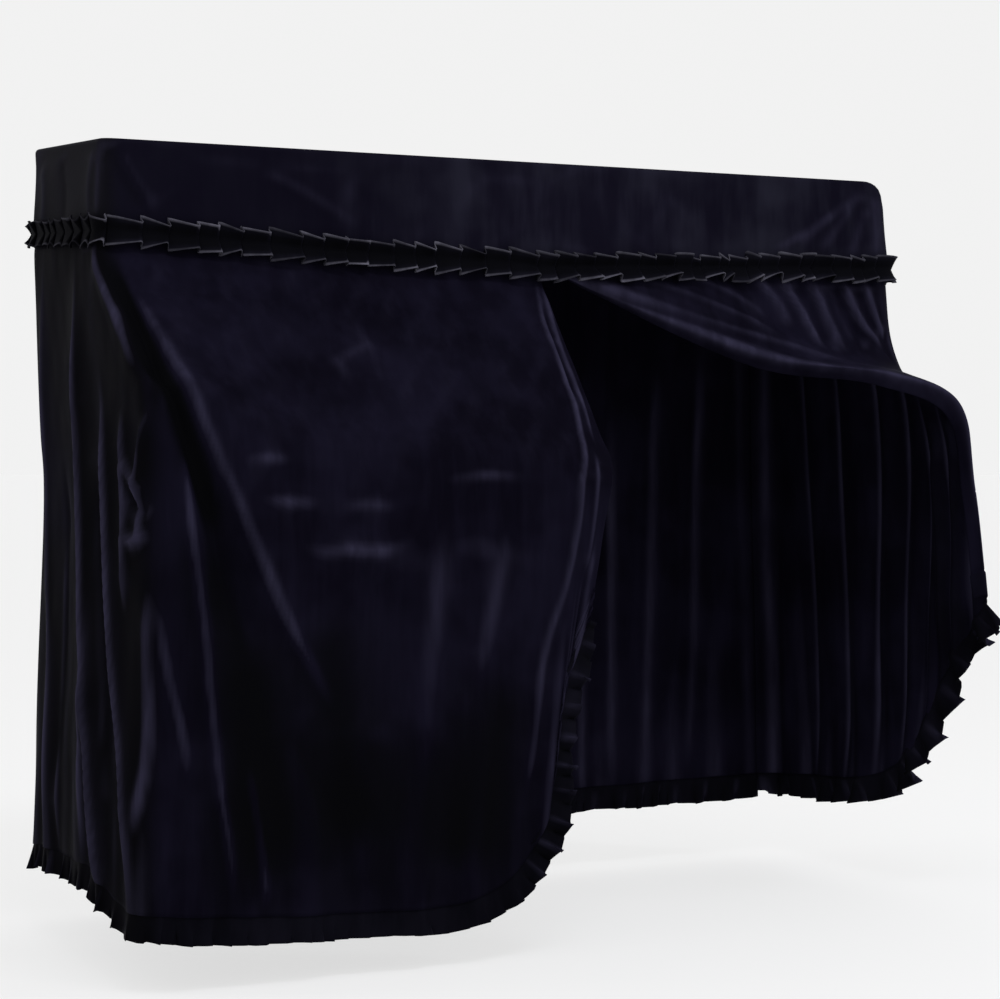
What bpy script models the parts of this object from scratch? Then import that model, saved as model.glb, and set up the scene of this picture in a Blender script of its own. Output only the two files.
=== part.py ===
"""Fitted velvet cover for an upright piano, as it hangs on the instrument.

The cover is hollow. A boxed crown sits over the lid, a double-edged ruffle hides
the seam at its foot, and a full skirt hangs from that seam and opens down the
middle of the front. The left front hangs closed over arm and key bed. The right
front is swept aside, so that its free edge runs up to the right arm and falls
over it. A gathered frill finishes the lower edge all round.

Frame: metres, +X along the cover's length, +Y to the back, +Z up. The origin is
the middle of the crown's underside, where the lid of the piano carries it, so
everything that hangs has a negative Z.
"""
import bpy
import bmesh
import math
import numpy as np

# ---------------------------------------------------------------- driving sizes
CLOTH = 0.002            # thickness of the velvet
TRIM_CLOTH = 0.0012      # thickness of the lighter cloth in ruffle and frills
SEAM_GAP = 0.001         # room left between two pieces that are sewn together
FRILL_GAP = 0.002        # room left between the hem and its frill

HALF_LENGTH = 0.757      # crown, middle to end
HALF_DEPTH = 0.216       # crown, middle to front or back
CORNER_RADIUS = 0.026    # crown corners, seen from above
END_ROLL = 0.048         # radius at which the right end of the crown rolls over
BAND_EASE = 0.002        # the band stands this much fuller at its foot
FLARE = 0.011            # and this much more at the right end
FLARE_FROM = 0.50        # where along the front that extra fullness begins
REAR_LIFT = 0.028        # the back left corner of the crown stands this much higher

RUFFLE_HALF = 0.023      # ruffle, sewing line to either free edge
RUFFLE_PITCH = 0.050     # from one ruffle pleat to the next
RUFFLE_SEWN = 0.0046     # distance of the sewing line from the cover
RUFFLE_STAND = 0.0075    # least distance of the lower free edge from the cover
RUFFLE_SWING = 0.010     # how far the pleats swing out from that
RUFFLE_OVER = 0.003      # and how far from the skirt, where that stands out below it

FRILL_DROP = 0.045       # depth of the gathered frill
FRILL_PITCH = 0.062      # from one flute of the frill to the next
FRILL_SWING = 0.011      # how far the flutes swing in and out
FRILL_TAPER = 0.090      # the frill narrows to nothing much over this length
FRILL_TIP = 0.35         # and this share of its depth is left at the opening
FRILL_START = 0.12       # it starts this far round from the back seam, in drop lines

UNDER_SEAM = 0.030       # the skirt leaves the seam straight down for this far
UNDER_STAND = 0.003      # and stands this much proud of it there

# Height of the seam between crown and skirt, at places along the cover's front,
# and at the two ends. The skirt's weight drags it down at the opening.
SEAM_FRONT = (
    # x,      z
    (-0.760, -0.147),
    (-0.590, -0.154),
    (-0.420, -0.164),
    (-0.240, -0.172),
    (-0.050, -0.176),
    (0.037, -0.181),
    (0.350, -0.172),
    (0.765, -0.163),
)
SEAM_REAR = (
    # x,      z
    (-0.760, -0.121),
    (0.765, -0.150),
)

# Drop lines of the left skirt, from the back seam round to the opening. Each row
# is one line of the cloth: where it leaves the seam, where it turns over the
# edge of the arm or the key bed (or simply hangs), and where it is hemmed.
# "faces" is the way the outside looks there, in degrees from +X.
LEFT_COLUMNS = "name faces seam_x seam_y knee_x knee_y knee_z hem_x hem_y hem_z"
LEFT_DROPS = (
    ("back wrap", 90, -0.715, 0.217, -0.712, 0.217, -0.60, -0.710, 0.219, -1.190),
    ("rear corner", 145, -0.749, 0.206, -0.738, 0.206, -0.55, -0.756, 0.208, -1.192),
    ("rear side", 180, -0.758, 0.120, -0.746, 0.105, -0.55, -0.768, 0.090, -1.178),
    ("middle side", 180, -0.758, 0.005, -0.752, -0.050, -0.50, -0.770, -0.060, -1.173),
    ("fore side", 180, -0.758, -0.100, -0.757, -0.205, -0.45, -0.770, -0.200, -1.172),
    ("arm side", 185, -0.758, -0.170, -0.755, -0.340, -0.42, -0.766, -0.325, -1.203),
    ("arm corner", 220, -0.754, -0.208, -0.742, -0.428, -0.405, -0.748, -0.420, -1.208),
    ("arm front", 262, -0.728, -0.219, -0.706, -0.449, -0.405, -0.708, -0.450, -1.210),
    ("arm inside", 270, -0.675, -0.219, -0.648, -0.448, -0.425, -0.645, -0.451, -1.215),
    ("front one", 270, -0.520, -0.219, -0.500, -0.440, -0.485, -0.490, -0.451, -1.225),
    ("front two", 270, -0.360, -0.219, -0.340, -0.440, -0.500, -0.350, -0.451, -1.230),
    ("front three", 270, -0.210, -0.219, -0.190, -0.442, -0.510, -0.240, -0.451, -1.229),
    ("curve one", 270, -0.110, -0.219, -0.090, -0.445, -0.515, -0.145, -0.451, -1.197),
    ("curve two", 270, -0.050, -0.219, -0.015, -0.448, -0.520, -0.078, -0.451, -1.100),
    ("curve three", 270, -0.014, -0.219, 0.016, -0.448, -0.520, -0.054, -0.451, -0.950),
    ("edge foot", 270, 0.010, -0.219, 0.034, -0.447, -0.524, -0.029, -0.450, -0.845),
    ("split edge", 270, 0.027, -0.219, 0.047, -0.446, -0.526, 0.004, -0.449, -0.780),
)

# Drop lines of the right skirt, from the back seam round to the opening. The
# front ones run sideways to the arm, turn over it and fall down its outside, and
# the cloth past the free edge is turned under. "half" is a place on the way
# from the seam to the turn over the arm.
RIGHT_COLUMNS = (
    "name faces seam_x seam_y half_x half_y half_z knee_x knee_y knee_z hem_x hem_y hem_z"
)
RIGHT_DROPS = (
    ("back wrap", 90, 0.718, 0.217, 0.720, 0.218, -0.38, 0.724, 0.219, -0.60, 0.742, 0.224, -1.170),
    ("rear corner", 35, 0.757, 0.203, 0.760, 0.206, -0.36, 0.763, 0.208, -0.55, 0.784, 0.212, -1.170),
    ("rear side", 0, 0.768, 0.110, 0.769, 0.103, -0.36, 0.773, 0.095, -0.55, 0.795, 0.085, -1.160),
    ("middle side", 0, 0.770, 0.000, 0.772, -0.012, -0.35, 0.777, -0.03, -0.52, 0.800, -0.03, -1.150),
    ("fore side", 0, 0.770, -0.110, 0.773, -0.130, -0.33, 0.779, -0.16, -0.48, 0.802, -0.12, -1.130),
    ("corner", 330, 0.768, -0.190, 0.773, -0.205, -0.32, 0.780, -0.250, -0.44, 0.802, -0.190, -1.100),
    ("sweep one", 300, 0.738, -0.218, 0.764, -0.226, -0.33, 0.776, -0.300, -0.424, 0.802, -0.240, -1.055),
    ("sweep two", 290, 0.660, -0.219, 0.745, -0.240, -0.335, 0.771, -0.335, -0.418, 0.803, -0.280, -1.000),
    ("sweep three", 285, 0.540, -0.219, 0.700, -0.255, -0.335, 0.767, -0.37, -0.414, 0.805, -0.320, -0.935),
    ("sweep four", 285, 0.400, -0.219, 0.635, -0.270, -0.33, 0.763, -0.398, -0.412, 0.806, -0.365, -0.870),
    ("sweep five", 285, 0.250, -0.219, 0.560, -0.290, -0.325, 0.758, -0.422, -0.411, 0.808, -0.415, -0.818),
    ("sweep six", 285, 0.120, -0.219, 0.490, -0.305, -0.328, 0.753, -0.438, -0.411, 0.808, -0.448, -0.788),
    ("free edge", 285, 0.037, -0.219, 0.430, -0.315, -0.333, 0.748, -0.446, -0.412, 0.806, -0.456, -0.762),
    ("turned under", 300, 0.036, -0.213, 0.425, -0.292, -0.353, 0.738, -0.422, -0.434,
     0.792, -0.436, -0.768),
)
LEAN_FULL = 0.35         # a line that runs this far sideways leaves the seam at a slant
ARM_LIFT = 0.020         # the swept cloth stands this high over the arm's inner edge
SHIN_FULL = 0.010        # and hangs this much full below the arm

# Long soft folds. Each row is one ridge: the drop line it follows at its top and at
# its foot (counted along the table, so 2.5 lies halfway between two rows), the
# depths it runs between (0 seam, 1 hem), its half width in drop lines, its height.
FOLD_COLUMNS = "line_top line_foot depth_top depth_foot half_width height"
LEFT_FOLDS = (
    (2.3, 2.4, 0.15, 1.00, 0.36, 0.014),
    (3.4, 3.2, 0.15, 1.00, 0.36, 0.016),
    (4.4, 4.2, 0.12, 1.00, 0.36, 0.014),
    (7.6, 8.4, 0.45, 0.95, 0.36, 0.012),
    (6.8, 9.6, 0.12, 0.72, 0.42, 0.012),
    (10.7, 10.4, 0.55, 0.95, 0.45, 0.012),
    (12.2, 11.6, 0.50, 0.90, 0.42, 0.010),
)
RIGHT_FOLDS = (
    (2.3, 2.2, 0.15, 1.00, 0.36, 0.014),
    (3.4, 3.3, 0.20, 1.00, 0.36, 0.016),
    (4.6, 4.6, 0.25, 1.00, 0.36, 0.018),
    (6.2, 6.3, 0.15, 1.00, 0.42, 0.014),
    (8.2, 7.8, 0.15, 1.00, 0.42, 0.014),
    (10.0, 10.2, 0.25, 1.00, 0.42, 0.012),
)

LID_ALONG = (            # stops along the top panel, closer over the rolled end
    -1.0, -0.992, -0.965, -0.6, -0.2, 0.2, 0.6, 0.92, 0.95, 0.97, 0.985, 0.994, 1.0,
)
LID_ACROSS = (1.0, 0.97, 0.88, 0.3, -0.3, -0.88, -0.97, -1.0)
LINES_PER_ROW = 3        # lines of mesh from one row of a table to the next
STEPS_DOWN = 11          # steps of mesh from seam to hem
RUFFLE_PLEAT = (         # one pleat of the ruffle: how far along, how far out
    (0.00, 0.00),
    (0.45, 0.60),
    (0.88, 1.00),
)
FRILL_FLUTE = (0.0, 1.0, 0.0, -1.0)
BACK_FLUTES = 15

VELVET = (0.006, 0.005, 0.016)
TRIM = (0.012, 0.011, 0.026)


# ------------------------------------------------------------------ small tools
def named(columns, row):
    return dict(zip(columns.split(), row))


def outward(degrees):
    angle = math.radians(degrees)
    return np.array([math.cos(angle), math.sin(angle), 0.0])


def ramp(value, low, high):
    """0 below low, 1 above high, and a soft step between."""
    t = min(max((value - low) / (high - low), 0.0), 1.0)
    return t * t * (3 - 2 * t)


def through(points, place):
    """The point at a place along a smooth centripetal curve through the points."""
    points = np.asarray(points, float)
    last = len(points) - 1
    index = min(int(place), last - 1)
    before = points[index - 1] if index > 0 else 2 * points[0] - points[1]
    after = points[index + 2] if index + 2 <= last else 2 * points[last] - points[last - 1]
    near = (before, points[index], points[index + 1], after)
    knots = [0.0]
    for start, end in zip(near, near[1:]):
        knots.append(knots[-1] + max(np.linalg.norm(end - start), 1e-9) ** 0.5)
    at = knots[1] + (place - index) * (knots[2] - knots[1])

    def mix(low, high, start, end):
        return ((knots[high] - at) * start + (at - knots[low]) * end) / (knots[high] - knots[low])

    one, two, three = (mix(i, i + 1, near[i], near[i + 1]) for i in range(3))
    return mix(1, 2, mix(0, 2, one, two), mix(1, 3, two, three))


def clear_scene():
    for item in list(bpy.data.objects):
        bpy.data.objects.remove(item, do_unlink=True)


def cloth_material(name, colour):
    material = bpy.data.materials.new(name)
    material.use_nodes = True
    shader = material.node_tree.nodes["Principled BSDF"]
    shader.inputs["Base Color"].default_value = (*colour, 1.0)
    shader.inputs["Roughness"].default_value = 0.9
    shader.inputs["Metallic"].default_value = 0.0
    return material


def sheet(name, along_stops, down_stops, place, thickness, colour, closed=False):
    """A cloth piece: a grid whose corners are put in place, then given thickness."""
    form = bmesh.new()
    across, down = len(along_stops) - 1, len(down_stops) - 1
    bmesh.ops.create_grid(form, x_segments=across, y_segments=down, size=0.5)
    for corner in form.verts:
        along = along_stops[round((corner.co.x + 0.5) * across)]
        depth = down_stops[round((0.5 - corner.co.y) * down)]
        corner.co = place(along, depth)
    if closed:
        bmesh.ops.remove_doubles(form, verts=form.verts, dist=0.0001)
    mesh = bpy.data.meshes.new(name)
    form.to_mesh(mesh)
    form.free()
    mesh.shade_smooth()
    mesh.materials.append(cloth_material(name, colour))
    piece = bpy.data.objects.new(name, mesh)
    COVER.objects.link(piece)
    solid = piece.modifiers.new("cloth", "SOLIDIFY")
    solid.thickness = thickness
    solid.offset = 0.0
    return piece


def even(start, end, steps):
    return [start + (end - start) * i / steps for i in range(steps + 1)]


# ------------------------------------------------------------- crown and outline
def table_height(table, x):
    return float(np.interp(x, [row[0] for row in table], [row[1] for row in table]))


def seam_height(x, y):
    """Height of the seam between crown and skirt, anywhere round the cover."""
    back = (y + HALF_DEPTH) / (2 * HALF_DEPTH)
    return (1 - back) * table_height(SEAM_FRONT, x) + back * table_height(SEAM_REAR, x)


def lid_height(x, y):
    """Middle of the crown's top cloth: it lifts at the back left, and rolls over
    the right end of the lid."""
    lift = REAR_LIFT * ((y + HALF_DEPTH) / (2 * HALF_DEPTH)) * (0.5 - 0.5 * x / HALF_LENGTH)
    past = min(max(x - (HALF_LENGTH - END_ROLL), 0.0), END_ROLL)
    droop = END_ROLL - math.sqrt(END_ROLL ** 2 - past ** 2)
    return CLOTH / 2 + max(lift, 0.0) * (1 - past / END_ROLL) - droop


def outline(corner_steps, side_lengths):
    """Round the crown seen from above: (x, y, facing) from the back middle, left,
    front, right and back again. Each side is cut into pieces of about one length."""
    wide, deep = HALF_LENGTH - CORNER_RADIUS, HALF_DEPTH - CORNER_RADIUS
    corners = ((-wide, deep, 90), (-wide, -deep, 180), (wide, -deep, 270), (wide, deep, 360))
    stops = [(0.0, HALF_DEPTH, 90.0)]
    for number, (x, y, facing) in enumerate(corners):
        for step in range(corner_steps + 1):
            turned = facing + 90 * step / corner_steps
            way = outward(turned)
            stops.append((x + CORNER_RADIUS * way[0], y + CORNER_RADIUS * way[1], turned))
    stops.append((0.0, HALF_DEPTH, 450.0))
    fine = []
    for (x0, y0, f0), (x1, y1, f1) in zip(stops, stops[1:]):
        steps = max(1, round(math.hypot(x1 - x0, y1 - y0) / side_lengths))
        for i in range(steps):
            t = i / steps
            fine.append((x0 + (x1 - x0) * t, y0 + (y1 - y0) * t, f0 + (f1 - f0) * t))
    fine.append(stops[-1])
    return fine


def band_point(stop, down):
    """A point of the crown's side band: down is 0 at its top and 1 at its foot."""
    x, y, facing = stop
    top = lid_height(x, y) - CLOTH / 2 - SEAM_GAP
    foot = seam_height(x, y) + SEAM_GAP / 4
    spread = FLARE * down * min(max((x - FLARE_FROM) / (HALF_LENGTH - FLARE_FROM), 0.0), 1.0)
    spread += BAND_EASE * down
    return np.array([x, y, top + (foot - top) * down]) + spread * outward(facing)


def lid_point(a, b):
    """A point of the top panel: a and b run from -1 to 1 along and across it."""
    x, y = HALF_LENGTH * a, HALF_DEPTH * b
    wide, deep = HALF_LENGTH - CORNER_RADIUS, HALF_DEPTH - CORNER_RADIUS
    over_x, over_y = abs(x) - wide, abs(y) - deep
    if over_x > 0 and over_y > 0:
        pull = max(over_x, over_y) / math.hypot(over_x, over_y)
        x = math.copysign(wide + over_x * pull, x)
        y = math.copysign(deep + over_y * pull, y)
    return np.array([x, y, lid_height(x, y)])


# ----------------------------------------------------------------------- skirts
class Skirt:
    """A skirt panel as a smooth surface through its table of drop lines."""

    def __init__(self, columns, drops, folds):
        self.rows = [named(columns, row) for row in drops]
        self.folds = [named(FOLD_COLUMNS, row) for row in folds]
        self.lines = [self.drop_line(row) for row in self.rows]
        self.last = len(self.rows) - 1
        self.depths = len(self.lines[0]) - 1

    def drop_line(self, row):
        """Seam, just under it, half way, at rest on the arm, knee, shin and hem."""
        out = outward(row["faces"])
        x, y = row["seam_x"], row["seam_y"]
        up = np.array([0.0, 0.0, 1.0])
        seam = np.array([x, y, seam_height(x, y) - SEAM_GAP * 3 / 4])
        knee, hem = (np.array([row[part + axis] for axis in ("_x", "_y", "_z")])
                     for part in ("knee", "hem"))
        half = (seam + UNDER_STAND * out - UNDER_SEAM * up + knee) / 2
        lean = 0.0
        if "half_x" in row:
            half = np.array([row["half_x"], row["half_y"], row["half_z"]])
            lean = min(abs(half[0] - x) / LEAN_FULL, 1.0)
        slant = (half - seam) / np.linalg.norm(half - seam)
        under = seam + UNDER_SEAM * slant * lean + (UNDER_STAND * out - UNDER_SEAM * up) * (1 - lean)
        rest = half * 0.35 + knee * 0.65 + ARM_LIFT * lean * up
        shin = knee * 0.55 + hem * 0.45 + SHIN_FULL * lean * np.array([1.0, 0.0, 0.0])
        return [seam, under, half, rest, knee, shin, hem]

    def facing(self, line):
        index = min(int(line), self.last - 1)
        start, end = self.rows[index]["faces"], self.rows[index + 1]["faces"]
        turn = (end - start + 180) % 360 - 180
        return outward(start + turn * (line - index))

    def point(self, line, depth):
        """line counts drop lines, depth runs from 0 at the seam to 1 at the hem."""
        reach = [through(drop, depth * self.depths) for drop in self.lines]
        return through(reach, line) + self.fold_height(line, depth) * self.facing(line)

    def fold_height(self, line, depth):
        height = 0.0
        for fold in self.folds:
            run = (depth - fold["depth_top"]) / (fold["depth_foot"] - fold["depth_top"])
            centre = fold["line_top"] + (fold["line_foot"] - fold["line_top"]) * run
            ridge = math.exp(-((line - centre) / fold["half_width"]) ** 2)
            reach = ramp(run, 0.0, 0.35) * (1 - ramp(run, 1.0, 1.35))
            height += fold["height"] * ridge * reach
        return height * ramp(depth, 0.12, 0.35)

    def lines_of_mesh(self):
        return even(0.0, float(self.last), self.last * LINES_PER_ROW)

    def hem(self, line):
        return self.point(line, 1.0)


def frill_place(skirt, last, side):
    """Places along a skirt's hem where the frill's flutes turn, and the function
    that puts a point of the frill there. side is 1 on the left and -1 on the right."""
    walk = even(FRILL_START, last, 240)
    hems = [skirt.hem(line) for line in walk]
    reach = [0.0]
    for start, end in zip(hems, hems[1:]):
        reach.append(reach[-1] + np.linalg.norm(end - start))
    turns = len(FRILL_FLUTE) * round(reach[-1] / FRILL_PITCH)
    stops = [reach[-1] * i / turns for i in range(turns + 1)]
    lines = [float(np.interp(stop, reach, walk)) for stop in stops]

    def place(turn, down):
        line = lines[turn]
        along = skirt.hem(min(line + 0.05, last)) - skirt.hem(max(line - 0.05, 0.0))
        out = skirt.facing(line)
        drop = np.cross(along, out) * side
        drop /= np.linalg.norm(drop)
        deep = FRILL_TIP + (1 - FRILL_TIP) * ramp(reach[-1] - stops[turn], 0.0, FRILL_TAPER)
        swing = FRILL_SWING * FRILL_FLUTE[turn % len(FRILL_FLUTE)] * deep
        return skirt.hem(line) + drop * (FRILL_GAP + FRILL_DROP * deep * down) + out * swing * down

    return list(range(turns + 1)), place


def back_place(left, right):
    """The back skirt hangs between the back edges of the two front skirts."""
    def place(across, depth):
        start, end = left.point(0.0, depth), right.point(0.0, depth)
        inset = SEAM_GAP / np.linalg.norm(end - start)
        return start + (end - start) * (inset + across * (1 - 2 * inset))
    return place


def back_frill_place(place, turns):
    def put(turn, down):
        hem = place(turn / turns, 1.0)
        swing = FRILL_SWING * FRILL_FLUTE[turn % len(FRILL_FLUTE)] * down
        return hem + np.array([0.0, swing, -FRILL_GAP - FRILL_DROP * down])
    return put


def ruffle_stops():
    """Places round the crown where the ruffle's pleats turn."""
    ring = outline(6, 0.02)
    reach = [0.0]
    for start, end in zip(ring, ring[1:]):
        reach.append(reach[-1] + math.hypot(end[0] - start[0], end[1] - start[1]))
    pleats = round(reach[-1] / RUFFLE_PITCH)
    stops = []
    for pleat in range(pleats):
        for along, out in RUFFLE_PLEAT:
            at = (pleat + along) / pleats * reach[-1]
            x, y, facing = (float(np.interp(at, reach, [s[i] for s in ring])) for i in range(3))
            stops.append((x, y, facing, out))
    stops.append(stops[0])
    return stops


def skirt_stand(skirts):
    """How far the skirts stand out from the front of the crown at the height of the
    ruffle's lower edge: a list of (x, distance)."""
    found = []
    for skirt in skirts:
        for line in skirt.lines_of_mesh():
            steps = [skirt.point(line, depth) for depth in even(0.0, 0.25, 50)]
            below = [p for p in steps if p[2] < seam_height(p[0], p[1]) - RUFFLE_HALF]
            if below and skirt.facing(line)[1] < -0.6:
                stand = -HALF_DEPTH - below[0][1]
                found += [(steps[0][0], stand), (below[0][0], stand)]
    return found


def ruffle_place(stands):
    """The function that puts a point of the ruffle. across runs from -1 at the upper
    free edge to 1 at the lower one, which lies over the skirt; the sewing line in
    the middle is pinched flat."""
    def place(stop, across):
        x, y, facing, out = stop
        base = band_point((x, y, facing), 1.0)
        free = abs(across)
        lower = RUFFLE_STAND
        if across > 0:
            near = [distance for at, distance in stands if abs(at - x) < RUFFLE_PITCH]
            over = max(near, default=0.0) + RUFFLE_OVER
            lower = max(lower, over * max(-outward(facing)[1], 0.0))
        stand = RUFFLE_SEWN + (lower - RUFFLE_SEWN) * free * (1 if across > 0 else 0.4)
        stand += RUFFLE_SWING * out * (0.25 + 0.75 * free)
        height = seam_height(x, y) - RUFFLE_HALF * across
        return np.array([base[0], base[1], height]) + stand * outward(facing)
    return place


# ------------------------------------------------------------------ the cover
clear_scene()
COVER = bpy.data.collections.new("piano_cover")
bpy.context.scene.collection.children.link(COVER)

sheet("crown_top", LID_ALONG, LID_ACROSS, lid_point, CLOTH, VELVET)
sheet("crown_band", outline(5, 0.11), even(0.0, 1.0, 2), band_point, CLOTH, VELVET, closed=True)

left_skirt = Skirt(LEFT_COLUMNS, LEFT_DROPS, LEFT_FOLDS)
right_skirt = Skirt(RIGHT_COLUMNS, RIGHT_DROPS, RIGHT_FOLDS)
depths = even(0.0, 1.0, STEPS_DOWN)
sheet("skirt_left", left_skirt.lines_of_mesh(), depths, left_skirt.point, CLOTH, VELVET)
sheet("skirt_right", right_skirt.lines_of_mesh(), depths, right_skirt.point, CLOTH, VELVET)
back = back_place(left_skirt, right_skirt)
sheet("skirt_back", even(0.0, 1.0, 8), even(0.0, 1.0, 5), back, CLOTH, VELVET)

for name, skirt, last, side in (
    ("frill_left", left_skirt, float(left_skirt.last), 1),
    ("frill_right", right_skirt, float(right_skirt.last) - 1.0, -1),
):
    turns, place = frill_place(skirt, last, side)
    sheet(name, turns, (0.0, 1.0), place, TRIM_CLOTH, TRIM)
BACK_TURNS = len(FRILL_FLUTE) * BACK_FLUTES
back_frill = back_frill_place(back, BACK_TURNS)
sheet("frill_back", list(range(BACK_TURNS + 1)), (0.0, 1.0), back_frill, TRIM_CLOTH, TRIM)

ruffle = ruffle_place(skirt_stand((left_skirt, right_skirt)))
sheet("ruffle", ruffle_stops(), (-1.0, 0.0, 1.0), ruffle, TRIM_CLOTH, TRIM, closed=True)
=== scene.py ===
# %% [markdown]
# # A fitted velvet cover for an upright piano
#
# The real cover is sewn from near-black velvet. A boxed crown sits over the lid, a pleated
# ruffle hides the seam at its foot, and long skirts hang from that seam, with a gathered
# frill along the hem. The skirt opens in the middle of the front, and its right side is
# swept over the right arm of the piano. Everything is cloth, so nearly every piece here is
# a fine grid of faces that is laid on a smooth surface and then creased along given paths.

# %% Load the imported frame
import math

import bmesh
import bpy
import numpy as np
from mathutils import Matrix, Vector


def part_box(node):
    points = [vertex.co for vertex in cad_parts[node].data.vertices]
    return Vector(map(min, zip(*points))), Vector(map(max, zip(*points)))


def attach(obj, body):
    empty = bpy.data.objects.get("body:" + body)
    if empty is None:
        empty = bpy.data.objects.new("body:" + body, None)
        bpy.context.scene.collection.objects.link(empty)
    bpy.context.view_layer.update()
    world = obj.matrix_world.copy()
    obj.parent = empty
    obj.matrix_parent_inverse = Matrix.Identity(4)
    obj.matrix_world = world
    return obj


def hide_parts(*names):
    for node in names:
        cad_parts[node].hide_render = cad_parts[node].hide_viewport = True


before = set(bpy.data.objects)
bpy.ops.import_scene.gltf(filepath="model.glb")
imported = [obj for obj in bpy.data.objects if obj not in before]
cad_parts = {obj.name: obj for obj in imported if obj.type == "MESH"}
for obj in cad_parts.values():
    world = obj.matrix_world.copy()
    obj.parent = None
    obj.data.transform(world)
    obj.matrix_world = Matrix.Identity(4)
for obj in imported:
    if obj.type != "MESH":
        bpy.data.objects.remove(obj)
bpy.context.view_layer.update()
print("frame nodes:", ", ".join(sorted(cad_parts)))

# %% [markdown]
# ## Where the sizes come from
#
# The crown's sizes are those of the part, and the first cell prints the crown of the frame
# beside them. What hangs is ruled by drop lines: a drop line is one thread of the cloth,
# followed from the seam over the edge of the arm or the key bed down to the hem. A tailor
# would think of the same lines when pinning the cloth to a stand. Single sizes are in
# metres. The tables of drop lines and of folds are in millimetres, as on a tailor's rule.

# %% Driving sizes, in metres
crown_low, crown_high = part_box("crown_top")
HALF_LENGTH = 0.757
HALF_DEPTH = 0.216
CORNER_RADIUS = 0.026
END_ROLL = 0.048          # radius at which the right end of the crown rolls over
REAR_LIFT = 0.028         # the back left corner of the crown stands this much higher
BAND_EASE = 0.002         # the band is this much fuller at its foot
FLARE = 0.011             # and this much more at the right end
FLARE_FROM = 0.50
SEAM_GAP = 0.001
VELVET_THICK = 0.0020
TRIM_THICK = 0.0012
print("crown here:", 2 * HALF_LENGTH, "x", 2 * HALF_DEPTH)
print("crown in the frame:", [round(size, 3) for size in crown_high - crown_low])

# %% Height of the seam under the crown, along the front and along the back
SEAM_FRONT = (
    # x,      z
    (-0.760, -0.147),
    (-0.590, -0.154),
    (-0.420, -0.164),
    (-0.240, -0.172),
    (-0.050, -0.176),
    (0.037, -0.181),
    (0.350, -0.172),
    (0.765, -0.163),
)
SEAM_REAR = (
    # x,      z
    (-0.760, -0.121),
    (0.765, -0.150),
)


def table_height(table, x):
    return np.interp(x, [row[0] for row in table], [row[1] for row in table])


def seam_height(x, y):
    back = (y + HALF_DEPTH) / (2 * HALF_DEPTH)
    return (1 - back) * table_height(SEAM_FRONT, x) + back * table_height(SEAM_REAR, x)


print("seam at the front left, middle, right:",
      [round(float(seam_height(x, -HALF_DEPTH)), 3) for x in (-0.757, 0.0, 0.757)])

# %% The drop lines of the left skirt, from the back seam round to the front opening
LEFT_COLUMNS = "seam_x seam_y knee_x knee_y knee_z hem_x hem_y hem_z"
LEFT_DROPS = (
    # name, way that it faces in degrees, then the columns
    ("back wrap", 90, -715, 217, -712, 217, -600, -710, 219, -1190),
    ("rear corner", 145, -749, 206, -738, 206, -550, -756, 208, -1192),
    ("rear side", 180, -758, 120, -746, 105, -550, -768, 90, -1178),
    ("middle side", 180, -758, 5, -752, -50, -500, -770, -60, -1173),
    ("fore side", 180, -758, -100, -757, -205, -450, -770, -200, -1172),
    ("arm side", 185, -758, -170, -755, -340, -420, -766, -325, -1203),
    ("arm corner", 220, -754, -208, -742, -428, -405, -748, -420, -1208),
    ("arm front", 262, -728, -219, -706, -449, -405, -708, -450, -1210),
    ("arm inside", 270, -675, -219, -648, -448, -425, -645, -451, -1215),
    ("front one", 270, -520, -219, -500, -440, -485, -490, -451, -1225),
    ("front two", 270, -360, -219, -340, -440, -500, -350, -451, -1230),
    ("front three", 270, -210, -219, -190, -442, -510, -240, -451, -1229),
    ("curve one", 270, -110, -219, -90, -445, -515, -145, -451, -1197),
    ("curve two", 270, -50, -219, -15, -448, -520, -78, -451, -1100),
    ("curve three", 270, -14, -219, 16, -448, -520, -54, -451, -950),
    ("edge foot", 270, 10, -219, 34, -447, -524, -29, -450, -845),
    ("split edge", 270, 27, -219, 47, -446, -526, 4, -449, -780),
)

# %% The drop lines of the right skirt, which is swept over the right arm
RIGHT_COLUMNS = "seam_x seam_y half_x half_y half_z knee_x knee_y knee_z hem_x hem_y hem_z"
RIGHT_DROPS = (
    # name, way that it faces in degrees, then the columns
    ("back wrap", 90, 718, 217, 720, 218, -380, 724, 219, -600, 742, 224, -1170),
    ("rear corner", 35, 757, 203, 760, 206, -360, 763, 208, -550, 784, 212, -1170),
    ("rear side", 0, 768, 110, 769, 103, -360, 773, 95, -550, 795, 85, -1160),
    ("middle side", 0, 770, 0, 772, -12, -350, 777, -30, -520, 800, -30, -1150),
    ("fore side", 0, 770, -110, 773, -130, -330, 779, -160, -480, 802, -120, -1130),
    ("corner", 330, 768, -190, 773, -205, -320, 780, -250, -440, 802, -190, -1100),
    ("sweep one", 300, 738, -218, 764, -226, -330, 776, -300, -424, 802, -240, -1055),
    ("sweep two", 290, 660, -219, 745, -240, -335, 771, -335, -418, 803, -280, -1000),
    ("sweep three", 285, 540, -219, 700, -255, -335, 767, -370, -414, 805, -320, -935),
    ("sweep four", 285, 400, -219, 635, -270, -330, 763, -398, -412, 806, -365, -870),
    ("sweep five", 285, 250, -219, 560, -290, -325, 758, -422, -411, 808, -415, -818),
    ("sweep six", 285, 120, -219, 490, -305, -328, 753, -438, -411, 808, -448, -788),
    ("free edge", 285, 37, -219, 430, -315, -333, 748, -446, -412, 806, -456, -762),
    ("turned under", 300, 36, -213, 425, -292, -353, 738, -422, -434, 792, -436, -768),
)
MILLIMETRES = 1000        # in a metre
LEAN_FULL = 0.35          # a thread that runs this far sideways leaves the seam at a slant
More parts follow.
